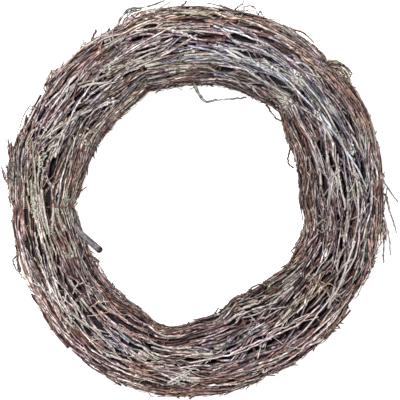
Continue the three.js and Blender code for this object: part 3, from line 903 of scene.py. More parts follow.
def dress(twigs, seed):
    # gives every point of every twig a colour and its weather, lichen and knots; knots swell it
    own = np.random.default_rng(seed)
    path = twigs["path"]
    count, points = path.shape[:2]
    _, across, up = intoSection(path, 0)
    near = {zone: nearPlaces(path, zone)[..., None] for zone in ("warm", "tan", "cool", "light", "dark")}
    depth = ramp(fillOf(across, up), tone["from"], tone["to"])
    side = across[..., None]
    light = np.clip(np.exp(own.normal(0, tone["spread"], (count, 1, 1))), tone["least"], tone["most"])
    speckle = np.exp(own.normal(0, tone["speckle"], (count, points, 1)))
    # the colour of the painted shade deep in a bunch: reddish, and bluish in the cool zones and where the
    # waves say
    blue = np.clip(wander(path, tone["blueWave"], 15)[..., None] * 1.2 - 0.4 + 1.2 * near["cool"], 0, 1)
    deepest = np.array(tone["deepShadeRed"]) * (1 - blue) + np.array(tone["deepShadeBlue"]) * blue
    edge = ramp(np.abs(side), tone["edgeFrom"], tone["edgeTo"]) * (np.abs(side) < tone["edgeEnd"])
    # painted shade towards the hole
    shade = 1 - (1 - tone["holeSideShade"]) * np.clip(0.3 - side, 0, 1)
    shade = shade * (1 + tone["rim"] * edge * (side > 0))
    shade = shade * (1 + tone["light"] * near["light"]) * (1 - tone["dark"] * near["dark"])
    warm = np.maximum(near["warm"], tone["edgeWarm"] * edge) * (1 - near["cool"]) * (1 - near["tan"])
    tint = 1 + near["cool"] * (np.array(tone["coolTint"]) - 1) + warm * (np.array(tone["warmTint"]) - 1)
    # bark deep in a bunch is darkened by painted shade
    sunk = deepest * (1 - depth[..., None]) + depth[..., None]
    twigs["colour"] = barkColours[twigs["bark"]][:, None, :] * light * speckle * shade * tint * sunk
    age = ageing["weather"]
    weather = age["up"] * up + age["waves"] * wander(path, age["wave"], 5) \
        + own.normal(0, age["spread"], (count, 1)) \
        - age["edge"] * np.minimum(np.abs(across), 1.1) ** 3 - age["deep"] * (1 - depth)
    age = ageing["lichen"]
    lichen = age["near"] * nearPlaces(path, "lichen") + age["waves"] * wander(path, age["wave"], 9) \
        + own.normal(0, age["spread"], (count, 1)) - age["under"] * (up < -0.2)
    age = ageing["knot"]
    knot = np.clip(own.normal(age["mean"], age["spread"], (count, points)), 0, 1)
    twigs["facts"] = np.stack([weather, lichen, knot], axis=-1)
    twigs["radius"] = twigs["radius"] * (1 + age["swell"] * knot)
    return twigs


dress(twigs, 21)

# what grows from the twigs: side shoots, and buds in the forks; shape is the thickness along each
slender = (1, 0.95, 0.9, 0.8, 0.65, 0.4)
shoots = {
    "inside": {"share": 0.46, "length": (5, 20), "thick": (0.35, 0.7), "fork": (15, 48), "limit": 1.02,
               "lean": 0, "outward": 25, "shape": slender},
    "loose": {"share": 0.08, "length": (4, 15), "thick": (0.4, 0.65), "fork": (20, 60), "limit": 1.07,
              "lean": 0, "outward": 60, "shape": slender},
    "edge": {"share": 0.36, "length": (2, 7), "thick": (0.7, 1.05), "fork": (12, 50), "limit": 1.1,
             "lean": 90, "outward": 35, "shape": slender, "edge": True},
    "bud": {"share": 1.2, "length": (1.6, 3.2), "thick": (0.75, 1.15), "fork": (22, 60), "limit": 1.05,
            "lean": 0, "outward": 45, "shape": (0.8, 1, 0.75, 0.15)},
}
growth = {
    "sides": 4,
    "margin": 3,            # points at either end of a twig where nothing grows
    "edgeFill": 0.9,        # shoots at the edge of the ring grow from here out
    "edgeAcross": 0.78,
    "edgeUp": -0.7,
    "tuftPull": 5.0,
    "bend": 0.35,
    "ahead": 0.5,           # how far a shoot turns back along its twig
    "bendLength": 26,
    "kinkLength": 90,
    "thickest": 0.9,
    "colour": (0.7, 1.25),
    "knot": 0.5,
}
# where the edge is thick with tips: angle, spread in degrees, and 1 at the outer edge or -1 at the hole
tufts = [
    (40, 3.5, 1), (62, 3, 1), (76, 2, 1), (108, 6, 1), (118, 3, 1), (128, 3, 1), (140, 4, 1), (154, 4, 1),
    (168, 4, 1), (175, 3, 1), (197, 4, 1), (319, 3, 1), (347, 4, 1), (30, 3, -1), (55, 4, -1), (150, 8, -1),
    (208, 5, -1), (226, 3, -1), (298, 4, -1), (331, 4, -1),
]


def edgeRoots(parents, count, own):
    # points at the edge of the ring, more of them at the tufts
    angle, across, up = intoSection(parents["path"], 0)
    odds = ((fillOf(across, up) > growth["edgeFill"]) & (np.abs(across) > growth["edgeAcross"])
            & (up > growth["edgeUp"])).astype(float)
    for at, spread, side in tufts:
        near = np.exp(-(turnFrom(angle, at) / spread) ** 2)
        odds *= 1 + growth["tuftPull"] * near * (np.sign(across) == side)
    odds[:, :growth["margin"]] = 0
    odds[:, -growth["margin"]:] = 0
    picked = own.choice(odds.size, count, p=odds.ravel() / odds.sum())
    return np.unravel_index(picked, odds.shape)


def growFrom(parents, kind, seed):
    # short twigs that fork off their parents; share is how many there are for each parent
    own = np.random.default_rng(seed)
    count = int(len(parents["path"]) * kind["share"])
    if kind.get("edge"):
        parent, at = edgeRoots(parents, count, own)
    else:
        parent = own.integers(0, len(parents["path"]), count)
        at = own.integers(growth["margin"], parents["path"].shape[1] - growth["margin"], count)
    root = parents["path"][parent, at]
    tipwards = np.sign(parents["fromButt"][parent, at + 1] - parents["fromButt"][parent, at - 1])
    way = unit((parents["path"][parent, at + 1] - parents["path"][parent, at - 1]) * tipwards[:, None])
    angle, across, up = intoSection(root, 0)
    turn = np.radians(angle)
    out = np.stack([np.cos(turn) * across, np.sin(turn) * across, up], axis=-1)
    out = unit(out - (out * way).sum(axis=-1, keepdims=True) * way)
    beside = np.cross(way, out)
    lean = np.radians(own.normal(kind["lean"], kind["outward"], count)) \
        + np.where(own.uniform(size=count) < 0.5, 0, math.pi)
    fork = np.radians(own.uniform(*kind["fork"], count))[:, None]
    aside = beside * np.cos(lean)[:, None] + out * np.abs(np.sin(lean))[:, None]
    first = way * np.cos(fork) + aside * np.sin(fork)
    shape = np.array(kind["shape"])
    length = own.uniform(*kind["length"], count)
    reach = np.linspace(0, 1, len(shape))[None, :, None] * length[:, None, None]
    bend = own.normal(0, 1, (count, 1, 3)) * growth["bend"] \
        + way[:, None] * own.uniform(0, growth["ahead"], (count, 1, 1))
    path = root[:, None] + first[:, None] * reach + bend * reach ** 2 / growth["bendLength"]
    kinks = np.cumsum(own.normal(0, 1, path.shape), axis=1)
    path = path + (kinks - kinks[:, :1]) * (length / growth["kinkLength"])[:, None, None]
    thick = parents["radius"][parent, at] * own.uniform(*kind["thick"], count)
    radius = np.minimum(thick, growth["thickest"])[:, None] * shape
    path = keepInside(path, radius, kind["limit"])
    path[:, 0] = root
    every = np.ones((1, len(shape), 1))
    colour = parents["colour"][parent, at][:, None] * own.uniform(*growth["colour"], (count, 1, 1)) * every
    facts = parents["facts"][parent, at][:, None] * every
    facts[..., 2] = np.where(shape > 0.97, growth["knot"], 0)
    return {"path": path, "radius": radius, "colour": colour, "facts": facts, "sides": growth["sides"],
            "bunch": parents["bunch"][parent]}


outside = {key: value[~twigs["deep"]] for key, value in twigs.items()}
grown = {name: growFrom(outside, kind, 300 + i) for i, (name, kind) in enumerate(shoots.items())}
print("wreath:", sum(len(g["path"]) for g in grown.values()), "shoots and buds grown")

# lichen crusts on the bark, and tufts of fine moss
crusts = {
    "count": 430,
    "length": (2, 6),
    "shape": (0.6, 1, 1, 1, 1, 0.6),
    "swell": (0.95, 1.6),
    "least": 0.9,
    "facts": (0.2, 0.7, 0.0),
    "colours": [(192, 189, 180), (204, 201, 195), (166, 161, 147)],
}
# where it grows thickest on the face, as small crusts crowded together: x, y, how far it reaches along each,
# how many crusts, and 1 where it is green
pads = [
    (-161, -6, 3, 7, 70, 1), (-156, 34, 3, 6, 26, 1), (98, 120, 2, 3, 12, 0), (94, 126, 2, 1.5, 8, 0),
    (72, 129, 3, 1.5, 7, 0), (-90, 130, 3, 3, 12, 0), (84, 92, 3, 4, 16, 1), (-114, 58, 3, 4, 16, 1),
    (115, 86, 1.5, 3, 7, 0), (-107, 68, 3, 3, 10, 1), (151, 46, 1.5, 6, 12, 0), (137, 28, 1.5, 3, 7, 0),
    (-88, 95, 3, 2, 10, 0), (-157, 71, 1.5, 4, 8, 0), (62, -168, 6, 3, 9, 0), (-20, -176, 6, 3, 9, 0),
    (-126, -116, 3, 4, 12, 1),
]
padShape = {
    "rise": (-0.6, 1.6),    # how deep in the ring or how far out a crust lies
    "turn": 30,
    "length": (1.2, 3.6),
    "radius": (0.6, 1.3),
    "rough": 0.2,
    "shape": (0.6, 1, 1.1, 1, 0.9, 0.6),
    "facts": (0.2, 0.4, 0.0),
}
moss = {
    "tufts": 40,
    "threads": 12,
    "points": 5,
    "length": (3, 9),
    "radius": (0.12, 0.22),
    "spread": 3,
    "curl": 0.07,
    "limit": 1.05,
    "colours": [(158, 148, 116), (146, 140, 120), (176, 164, 136)],
}


def likelyPoints(facts, count, own, sharpness):
    # twig points picked at random, more often where the lichen grows
    odds = np.exp(sharpness * np.clip(facts[..., 1], -1, 1.3)).ravel()
    picked = own.choice(len(odds), count, replace=False, p=odds / odds.sum())
    return np.unravel_index(picked, facts.shape[:2])


def growCrusts(parents):
    own = np.random.default_rng(41)
    twig, at = likelyPoints(parents["facts"][:, 2:-2], crusts["count"], own, 10)
    at = at + 2
    way = unit(parents["path"][twig, at + 1] - parents["path"][twig, at - 1])
    shape = np.array(crusts["shape"])
    reach = np.linspace(-0.5, 0.5, len(shape))[None, :] * own.uniform(*crusts["length"], (len(twig), 1))
    path = parents["path"][twig, at][:, None] + way[:, None] * reach[..., None]
    swell = own.uniform(*crusts["swell"], (len(twig), len(shape))) * shape
    radius = np.maximum(parents["radius"][twig, at], crusts["least"])[:, None] * swell
    shades = linear(crusts["colours"])[own.integers(0, len(crusts["colours"]), len(twig))]
    colour = shades[:, None] * own.uniform(0.75, 1.1, (*radius.shape, 1))
    return {"path": path, "radius": radius, "colour": colour, "sides": 6, "bunch": parents["bunch"][twig],
            "facts": np.broadcast_to(crusts["facts"], path.shape)}


def growPads():
    own = np.random.default_rng(45)
    spots = np.concatenate([own.normal(0, 1, (count, 2)) * (reachX, reachY) + (x, y)
                            for x, y, reachX, reachY, count, _ in pads])
    green = np.repeat([pad[5] for pad in pads], [pad[4] for pad in pads])
    count, shape = len(spots), np.array(padShape["shape"])
    angle, across, _ = intoSection(np.pad(spots, ((0, 0), (0, 1))), 0)
    middle = outOfSection(angle, across, topAt(across), own.uniform(*padShape["rise"], count))
    turn = np.radians(angle + 90 + own.normal(0, padShape["turn"], count))
    way = np.stack([np.cos(turn), np.sin(turn), own.normal(0, 0.1, count)], axis=-1)
    reach = np.linspace(-0.5, 0.5, len(shape))[None, :] * own.uniform(*padShape["length"], (count, 1))
    path = middle[:, None] + way[:, None] * reach[..., None] \
        + own.normal(0, padShape["rough"], (count, len(shape), 3))
    radius = own.uniform(*padShape["radius"], (count, 1)) * shape
    _, pale, mossy = linear(crusts["colours"])
    colour = np.where(green[:, None, None] > 0, mossy, pale) * own.uniform(0.8, 1.25, (*radius.shape, 1))
    bunch = np.searchsorted(ties, np.mod(angle - ties[0], 360) + ties[0], side="right") - 1
    return {"path": path, "radius": radius, "colour": colour, "sides": 5, "bunch": bunch,
            "facts": np.broadcast_to(padShape["facts"], path.shape)}


def growMoss(parents):
    own = np.random.default_rng(43)
    twig, at = likelyPoints(parents["facts"][:, 2:-2], moss["tufts"], own, 3)
    root = np.repeat(parents["path"][twig, at + 2], moss["threads"], axis=0)
    shades = linear(moss["colours"])[own.integers(0, len(moss["colours"]), moss["tufts"])]
    count = len(root)
    root = root + own.normal(0, moss["spread"], (count, 3)) * (1, 1, 0.3)
    way = unit(own.normal(0, 1, (count, 3)) + (0, 0, 0.4))
    reach = np.linspace(0, 1, moss["points"])[None, :, None] * own.uniform(*moss["length"], (count, 1, 1))
    path = root[:, None] + way[:, None] * reach + own.normal(0, moss["curl"], (count, 1, 3)) * reach ** 2
    radius = own.uniform(*moss["radius"], (count, 1)) * np.linspace(1, 0.5, moss["points"])
    path = keepInside(path, radius, moss["limit"])
    colour = np.repeat(shades, moss["threads"], axis=0)[:, None] * np.ones((1, moss["points"], 1))
    return {"path": path, "radius": radius, "colour": colour, "facts": np.zeros(path.shape), "sides": 3,
            "bunch": np.repeat(parents["bunch"][twig], moss["threads"])}


grown["crust"] = growCrusts(outside)
grown["pad"] = growPads()
grown["moss"] = growMoss(outside)


def dressPlaced(paths, radii, taper, names, bunches, sides, seed):
    # twigs that are placed one by one, as a dressed set; the radii are those at the butts
    path = np.stack(paths)
    fromButt = np.broadcast_to(np.linspace(0, 1, path.shape[1]), path.shape[:2])
    return dress({"path": path, "fromButt": fromButt, "sides": sides, "bunch": np.array(bunches) - 1,
                  "radius": np.array(radii)[:, None] * (1 - taper * fromButt),
                  "bark": np.array([barkNames.index(name) for name in names])}, seed)


# loose sprigs that stand off the ring: the bunch that holds each one, its root as an angle and a place round
# the section, radius, bark, and the points that it passes; round the section 0 is outside, 90 on top and 180
# at the hole
sprigs = [
    (3, (93, 168), 1.15, "lead", (-5, 113, 47), (-1, 104.5, 49), (5.5, 96.2, 50), (13, 98.6, 51),
     (23, 99.6, 51), (46, 101.5, 51)),
    (2, (53, 165), 0.8, "umber", (66, 94, 40), (71, 87, 42), (76.5, 80, 43), (81.5, 79, 43)),
    (1, (29, 165), 0.8, "umber", (89, 49.5, 42), (87.4, 42, 43), (88, 35.5, 44), (93, 32, 45)),
    (1, (34, 160), 0.8, "plum", (92, 58, 44), (95, 42, 45), (98.4, 24, 45), (101.5, 4, 44),
     (102.5, -6, 42)),
    (11, (10, 8), 0.7, "slate", (183, 19, 36), (190, 8, 37), (197, -2, 38)),
    (11, (4, -8), 0.75, "lead", (186, 5, 27), (190, -11, 28), (197, -33, 29)),
    (11, (-5, 10), 0.7, "slate", (184, -18, 36), (188.5, -37, 38), (190, -55, 38)),
    (11, (-5, -12), 0.75, "lead", (183.5, -23, 25), (184.5, -44, 23), (184, -63, 22)),
    (4, (117, 12), 0.9, "lead", (-84.5, 172, 37), (-80, 178, 38), (-76, 186, 39), (-70, 190.5, 40),
     (-60, 191.5, 41), (-49, 193, 42), (-35, 198, 43)),
    (4, (112, 14), 0.7, "mossy", (-60, 184, 38), (-50, 187.5, 40), (-42, 189.5, 41), (-29, 197.5, 42)),
    (4, (118, 20), 0.7, "lead", (-80, 171, 42), (-74, 181, 43), (-66, 187.5, 43), (-56, 188, 42),
     (-46, 183, 40)),
    (4, (117, 16), 0.9, "ash", (-79, 173, 40), (-72, 178, 42), (-62, 182, 43), (-50, 184, 42),
     (-38, 184, 40)),
    (4, (113, 20), 0.75, "straw", (-68, 179, 44), (-60, 188, 45), (-50, 189, 45), (-44, 186, 44)),
    (4, (114, 6), 0.7, "lead", (-72, 179, 33), (-73, 186, 35), (-66, 189.5, 36), (-57, 189, 36)),
    (4, (122, 25), 1.2, "umber", (-107, 160, 45), (-103, 169, 47)),
    (4, (128, 14), 0.8, "umber", (-115, 150, 42), (-115, 158, 43), (-119, 151, 43)),
    (3, (92, 5), 0.9, "umber", (-19, 193, 33), (-13, 198.5, 34)),
    (2, (77, 14), 0.65, "umber", (35, 190.5, 40), (41, 194, 41), (43, 195.5, 41), (43.6, 198.4, 41)),
    (2, (76, 10), 0.75, "ash", (44, 193, 36), (50, 193.6, 37), (55, 191.5, 38), (57.5, 185, 38)),
    (2, (71, 8), 0.6, "ash", (59.5, 188.5, 38), (60.5, 186.5, 38), (64.5, 182.5, 38)),
    (2, (62, 8), 0.9, "umber", (94, 170, 35), (99, 168.6, 36), (104, 166.5, 37), (110, 161, 37),
     (114, 156.5, 38)),
    (1, (45.5, 15), 0.75, "mossy", (129, 137, 38), (136, 137, 40), (143, 135, 41), (148, 130, 42),
     (152, 125, 42), (149, 122, 41)),
    (1, (47, 10), 0.8, "mossy", (128, 139.5, 34), (137, 139, 35), (145, 131, 36), (149.5, 125, 36)),
    (1, (45, 6), 0.9, "umber", (131, 135, 31), (138, 134, 32), (146, 127, 33), (150, 119, 33)),
    (1, (44, 18), 0.8, "mossy", (132, 133, 40), (140, 131, 41), (147, 122, 41), (151, 114, 40)),
    (1, (46, 0), 0.8, "mossy", (133, 136, 26), (141, 135.5, 27), (149, 129, 27)),
    (5, (176, 6), 0.9, "mauve", (-189, 12, 34), (-193.5, 20, 35), (-196.5, 30, 35)),
    (5, (166, 5), 0.9, "umber", (-191, 16, 32), (-195, 20, 33), (-196.5, 26, 33), (-198, 33, 33)),
    (5, (168, -8), 0.6, "umber", (-189, 26, 27), (-192, 31, 27), (-195, 36, 27)),
    (4, (145, 10), 0.6, "straw", (-156, 112, 38), (-151, 122, 39), (-143, 131, 39)),
    (5, (151, 10), 0.5, "ash", (-168, 95, 37), (-174, 88, 39), (-181.5, 68, 39), (-183, 55, 38)),
    (5, (156, 6), 0.9, "umber", (-179, 58, 34), (-184, 53, 35), (-188, 50, 35), (-187, 44, 35)),
    (6, (194, 10), 0.8, "mossy", (-181, -54, 36), (-187, -60, 38), (-184, -68, 38), (-174, -80, 36)),
    (6, (209, 170), 0.9, "umber", (-110, -54, 42), (-104, -58, 44), (-99.5, -61.5, 45)),
    (6, (206, 170), 0.7, "mauve", (-103, -61, 38), (-98, -70, 38), (-92, -79.5, 38)),
    (7, (226, 172), 0.7, "mossy", (-85, -88, 40), (-78, -92, 41), (-74, -99.5, 40)),
    (8, (299, 172), 0.8, "umber", (46, -94, 38), (50, -88.5, 40), (56, -84.5, 41), (62, -84, 41),
     (69, -86, 40)),
    (9, (319, 8), 0.6, "umber", (136, -124, 35), (140, -128, 36)),
    (10, (331, 172), 0.7, "mossy", (97, -45, 38), (91, -50.5, 40), (94, -56, 40)),
    (10, (340, 6), 0.8, "umber", (175, -61, 35), (171.5, -68, 36)),
]
# sheaves of loose ends, laid beside one another round a middle one: bunch, root, how many, how far they
# spread, their barks, and the points of the middle one
sheaves = [
    (5, (172, 6), 14, 2.2, ("lead", "umber", "mauve", "straw"), (-185, 32, 34), (-187.6, 46, 36),
     (-187.8, 58, 36)),
    (5, (176, 2), 7, 1.8, ("umber", "mauve", "plum"), (-188.5, 12, 30), (-191.8, 22, 31), (-192.5, 34, 32)),
    (4, (144, 6), 11, 1.6, ("straw", "ash", "mauve", "mossy"), (-152, 113, 34), (-148, 122, 35),
     (-140, 132, 36)),
    (4, (116, 10), 12, 2.4, ("lead", "umber", "mauve", "mossy"), (-76, 173, 37), (-68, 180, 38),
     (-57, 184, 39), (-44, 185, 39)),
    (1, (44, 8), 9, 2.2, ("amber", "mossy", "straw", "umber"), (131, 132, 34), (138.5, 130, 36),
     (145, 123, 36)),
    (6, (196, 8), 6, 1.8, ("russet", "umber", "mossy"), (-182, -52, 34), (-183, -62, 35), (-180, -72, 35)),
    (11, (-2, 4), 6, 1.6, ("umber", "mauve", "russet"), (182, -14, 32), (185, -30, 33), (184, -44, 33)),
]
sprigShape = {
    "points": 26,
    "rootInset": 9,
    "thicker": 1.55,
    "taper": 0.4,
    "kink": 0.3,
    "darker": 0.62,
    "cut": (0.55, 1),       # how long the ends of a sheaf are
    "radius": (0.5, 0.8),
    "rootSlide": 1.5,       # degrees along the ring
    "rootTurn": 8,          # and round the section
}
sprigShoots = {"share": 0.6, "length": (1.5, 5), "thick": (0.4, 0.7), "fork": (25, 60), "limit": 1.3,
               "lean": 0, "outward": 40, "shape": (1, 0.95, 0.85, 0.75, 0.6, 0.4)}


def spreadSheaves(own):
    # single sprigs for every sheaf
    made = []
    for bunch, (angle, around), count, spread, names, *points in sheaves:
        points = np.array(points, float)
        for _ in range(count):
            shift = own.normal(0, spread, 3) * (1, 1, 2)
            cut = own.uniform(*sprigShape["cut"])
            line = points.copy()
            line[1:] = points[:-1] + (points[1:] - points[:-1]) * cut
            line += shift * np.linspace(0.5, 1, len(line))[:, None]
            slide, roll = own.normal(0, sprigShape["rootSlide"]), own.normal(0, sprigShape["rootTurn"])
            radius = own.uniform(*sprigShape["radius"])
            name = names[own.integers(0, len(names))]
            made.append((bunch, (angle + slide, around + roll), radius, name, *line))
    return made


def growSprigs():
    own = np.random.default_rng(51)
    paths = []
    everySprig = sprigs + spreadSheaves(own)
    for _, (angle, around), _, _, *points in everySprig:
        across, up = onOutline(math.radians(around))
        root = outOfSection(np.array(float(angle)), across, up, sprigShape["rootInset"])
        path = softened(evenly([root, *points], sprigShape["points"]))
        path[1:-1] += own.normal(0, sprigShape["kink"], (len(path) - 2, 3))
        paths.append(path)
    bunches, _, radii, names, *_ = zip(*[sprig[:4] for sprig in everySprig])
    radii = np.array(radii) * sprigShape["thicker"]
    made = dressPlaced(paths, radii, sprigShape["taper"], names, bunches, 6, 53)
    made["colour"] = made["colour"] * sprigShape["darker"]
    return made


grown["sprig"] = growSprigs()
grown["sprigShoot"] = growFrom(grown["sprig"], sprigShoots, 155)
grown["sprigBud"] = growFrom(grown["sprig"], {**shoots["bud"], "share": 2, "limit": 1.4}, 57)

# single twigs that stand out on the face: bunch, radius, bark, and x and y along each
faceTwigs = [
    (3, 1.35, "ash", (0, 120.3), (19, 121), (43, 117), (57, 112)),
    (2, 1.7, "frost", (18.5, 153), (43, 137.5), (71, 127.3), (84, 118)),
    (2, 1.4, "mauve", (23, 165.6), (38, 153), (57, 146.4), (71, 140)),
    (2, 1.35, "silver", (19, 134), (44.6, 130), (63.8, 117), (89, 103)),
    (2, 1.5, "slate", (-12, 152), (16, 147), (48, 128), (66, 117)),
    (1, 1.6, "frost", (118.6, 86.5), (140, 56), (156, 30), (164.5, 11.2)),
    (1, 1.2, "ash", (84, 102), (117, 80), (121, 77.6), (136, 63)),
    (1, 1.25, "ash", (121, 77.6), (125.6, 47), (131.4, 0)),
    (11, 1.3, "slate", (140, 52), (142.9, 32), (146.7, 0), (145, -24)),
    (2, 1.3, "frost", (22.5, 169.5), (62.5, 155.5), (90.5, 137.5), (112.5, 115.5)),
    (2, 1.4, "slate", (32.5, 157.5), (62.5, 147.5), (84.5, 133.5), (104, 112)),
    (1, 1.3, "frost", (62.5, 139.5), (90.5, 114.5), (115.5, 87.5), (130.5, 59.5)),
    (1, 1.4, "slate", (100.5, 119.5), (120.5, 94.5), (140.5, 59.5), (150.5, 24.5)),
    (1, 1.5, "slate", (110.5, 114.5), (135.5, 81.5), (152.5, 44.5)),
    (1, 1.2, "mauve", (85.5, 139.5), (112.5, 119.5), (135.5, 94.5), (152.5, 64.5)),
    (11, 1.2, "ash", (150, 38), (156, 10), (156, -20), (150, -48)),
    (10, 1.4, "ash", (152.5, -40.5), (135.5, -90.5), (100.5, -130.5)),
    (10, 1.2, "mauve", (160.5, -0.5), (155.5, -50.5), (130.5, -100.5)),
    (5, 1.3, "mauve", (-169.5, 29.5), (-154.5, 79.5), (-129.5, 114.5), (-99.5, 144.5)),
    (5, 1.3, "ash", (-139.5, 49.5), (-124.5, 89.5), (-99.5, 124.5)),
    (6, 1.3, "mauve", (-179.5, -30.5), (-165.5, -86.5), (-138.5, -125.5)),
    (7, 1.1, "ash", (-158, -64), (-152, -78), (-146, -92)),
    (7, 0.9, "silver", (-151, -90), (-142, -100), (-129, -113)),
    (7, 0.9, "silver", (-146, -76), (-134, -88), (-120, -106)),
    (7, 1.0, "ash", (-131, -92), (-120, -108), (-112, -122)),
    (7, 1.1, "straw", (-109, -139), (-104, -137.5), (-99, -137)),
    (7, 0.9, "ash", (-116, -118), (-100, -132), (-86, -146)),
    (8, 1.0, "silver", (-38, -171), (-27, -177), (-14, -182)),
    (7, 0.7, "straw", (-126, -93), (-122, -84), (-114, -81)),
    (7, 0.65, "straw", (-114, -84), (-104, -88), (-97, -94), (-93, -104)),
    (7, 0.8, "straw", (-109, -106), (-101, -101), (-91, -101)),
    (4, 1.2, "straw", (-102, 118), (-84, 129), (-64, 136)),
    (4, 1.1, "mossy", (-96, 112), (-80, 124), (-60, 131)),
    (4, 1.1, "umber", (-106, 124), (-88, 135), (-66, 143)),
    (3, 1.8, "silver", (-28, 167), (-16, 164), (-3, 158)),
    (4, 0.7, "maroon", (-93, 167), (-88, 158), (-81, 150)),
    (4, 0.6, "rust", (-87, 168), (-86, 160), (-83, 151)),
    (7, 1.2, "maroon", (-106, -104), (-86, -122), (-62, -136)),
    (7, 1.2, "russet", (-93, -105), (-74, -120), (-52, -131)),
    (7, 1.1, "umber", (-82, -127), (-64, -137), (-42, -144)),
    (7, 1.0, "ash", (-98, -110), (-80, -126), (-58, -142)),
    (7, 1.2, "plum", (-87, -111), (-72, -121), (-55, -130)),
    (7, 1.0, "umber", (-82, -113), (-67, -124), (-50, -133)),
    (7, 1.1, "maroon", (-77, -126), (-61, -134), (-43, -140)),
    (7, 1.1, "plum", (-90, -120), (-74, -130), (-56, -137)),
    (10, 0.6, "amber", (106, -73), (114, -79), (122, -87), (129, -95), (138, -100)),
    (10, 0.55, "rust", (111, -86), (117, -80), (124, -83), (128, -92)),
    (10, 0.5, "straw", (117, -94), (121, -85), (129, -82), (135, -88)),
    (10, 0.55, "amber", (125, -101), (130, -93), (137, -93), (142, -101)),
    (11, 0.6, "straw", (102, -10), (110, -12), (120, -17), (128, -25)),
    (11, 0.6, "umber", (116, -27), (122, -21), (127, -27), (121, -33), (116, -29)),
    (8, 1.0, "ash", (-9.5, -160.5), (40.5, -150.5), (90.5, -125.5)),
    (8, 1.3, "mauve", (-49.5, -165.5), (0.5, -176.5), (60.5, -165.5)),
    (1, 1.4, "ash", (149, 65), (163, 41), (169.6, 9)),
    (5, 1.15, "silver", (-82, 99), (-100, 92), (-116, 78), (-124, 60), (-129, 35)),
    (5, 1.3, "silver", (-143, 42), (-138, 62), (-128, 82)),
    (4, 0.8, "silver", (-116, 96), (-98, 112), (-82, 117)),
    (8, 1.2, "silver", (-32, -181), (-22, -175), (-8, -167)),
    (9, 1.3, "mauve", (30, -152), (62, -138), (96, -124), (118, -104)),
    (8, 1.4, "plum", (10, -165), (40, -158), (80, -146), (104, -128)),
    (7, 1.0, "silver", (-152, -78), (-138, -104), (-118, -128), (-96, -152)),
    (6, 1.1, "ash", (-160, -20), (-152, -52), (-140, -80)),
    (6, 1.6, "mossy", (-167, 20), (-165.5, -2), (-161, -26), (-154, -48)),
    (6, 1.5, "lead", (-164, 16), (-162, -4), (-157, -30)),
    (5, 1.5, "mossy", (-165, 58), (-163, 30), (-160, -8)),
    (5, 1.4, "mossy", (-158, 44), (-160, 16), (-157.5, -12), (-151, -34)),
    (5, 1.3, "mauve", (-154, 30), (-157.5, 4), (-154.5, -20)),
    (6, 1.4, "mossy", (-156, 10), (-154, -10), (-149, -36), (-142, -56)),
    (8, 1.2, "umber", (34, -111), (52, -105), (72, -95)),
    (8, 1.1, "ash", (36, -115), (56, -108), (76, -101)),
    (8, 1.0, "maroon", (40, -108), (58, -101), (78, -88)),
    (8, 1.2, "maroon", (54, -166), (74, -160), (94, -150)),
    (8, 1.1, "ash", (58, -162), (76, -156), (96, -145)),
    (6, 1.1, "umber", (-166, -30), (-164, -46), (-159, -66)),
    (6, 1.0, "ash", (-163, -32), (-160, -48), (-156, -62)),
    (7, 1.1, "maroon", (-111, -106), (-100, -117), (-86, -129)),
    (7, 1.0, "ash", (-106, -103), (-98, -114), (-88, -124)),
    (6, 1.1, "umber", (-115, -54), (-108, -68), (-98, -82)),
    (4, 1.2, "ash", (-126, 142), (-114, 152), (-100, 160)),
    (4, 1.1, "umber", (-130, 136), (-117, 149), (-102, 157)),
    (1, 1.1, "amber", (93, 147), (112, 134), (130, 117)),
    (1, 0.9, "amber", (100, 139), (117, 127), (133, 109)),
    (1, 1.1, "rust", (86, 151), (107, 140), (126, 125)),
    (1, 1.0, "maroon", (74, 161), (96, 150), (116, 136)),
    (6, 1.0, "ash", (-163, -96), (-150, -116), (-132, -136)),
    (6, 1.1, "mauve", (-152, -110), (-134, -131), (-112, -149)),
    (7, 1.0, "ash", (-146, -122), (-124, -143), (-98, -161)),
    (7, 1.2, "maroon", (-124, -143), (-100, -158), (-72, -171)),
    (7, 1.1, "mauve", (-108, -147), (-84, -162), (-56, -171)),
    (7, 0.9, "ash", (-94, -161), (-66, -174), (-36, -183)),
    (7, 1.1, "russet", (-70, -166), (-44, -175), (-18, -183)),
    (9, 1.1, "mauve", (100, -147), (121, -129), (139, -107)),
    (9, 1.0, "ash", (112, -139), (134, -117), (150, -93)),
    (8, 1.0, "mauve", (62, -171), (86, -159), (108, -143)),
    (8, 1.0, "ash", (8, -183), (34, -182), (60, -176)),
]
faceShape = {"kink": 0.3, "sunk": 0.7, "taper": 0.35}


def layFaceTwigs():
    own = np.random.default_rng(61)
    paths = []
    for _, radius, _, *points in faceTwigs:
        line = softened(evenly([(x, y, 0) for x, y in points], twigShape["points"]))
        line[1:-1, :2] += own.normal(0, faceShape["kink"], (len(line) - 2, 2))
        angle, across, _ = intoSection(line, radius)
        paths.append(outOfSection(angle, across, topAt(across), radius * faceShape["sunk"]))
    bunches, radii, names = zip(*[twig[:3] for twig in faceTwigs])
    return dressPlaced(paths, radii, faceShape["taper"], names, bunches, 7, 63)


grown["face"] = layFaceTwigs()
grown["faceBud"] = growFrom(grown["face"], {**shoots["bud"], "share": 3}, 65)

# three stout twigs under the ring that it rests on
restTwigs = {"bunches": [1, 5, 8], "radius": 2.8, "rise": 4, "points": 24, "bark": "umber", "clear": 2}


def layRestTwigs():
    paths = []
    for bunch in restTwigs["bunches"]:
        start, clear = ties[bunch - 1], restTwigs["clear"]
        angle = np.linspace(start + clear, start + spans[bunch - 1] - clear, restTwigs["points"])
        path = outOfSection(angle, np.zeros_like(angle), np.full_like(angle, -1.0), 0)
        bow = np.linspace(-1, 1, restTwigs["points"]) ** 2
        path[:, 2] = restTwigs["radius"] * 0.97 + restTwigs["rise"] * bow
        paths.append(path)
    number = len(paths)
    return dressPlaced(paths, [restTwigs["radius"]] * number, 0, [restTwigs["bark"]] * number,
                       restTwigs["bunches"], 8, 59)


grown["rest"] = layRestTwigs()
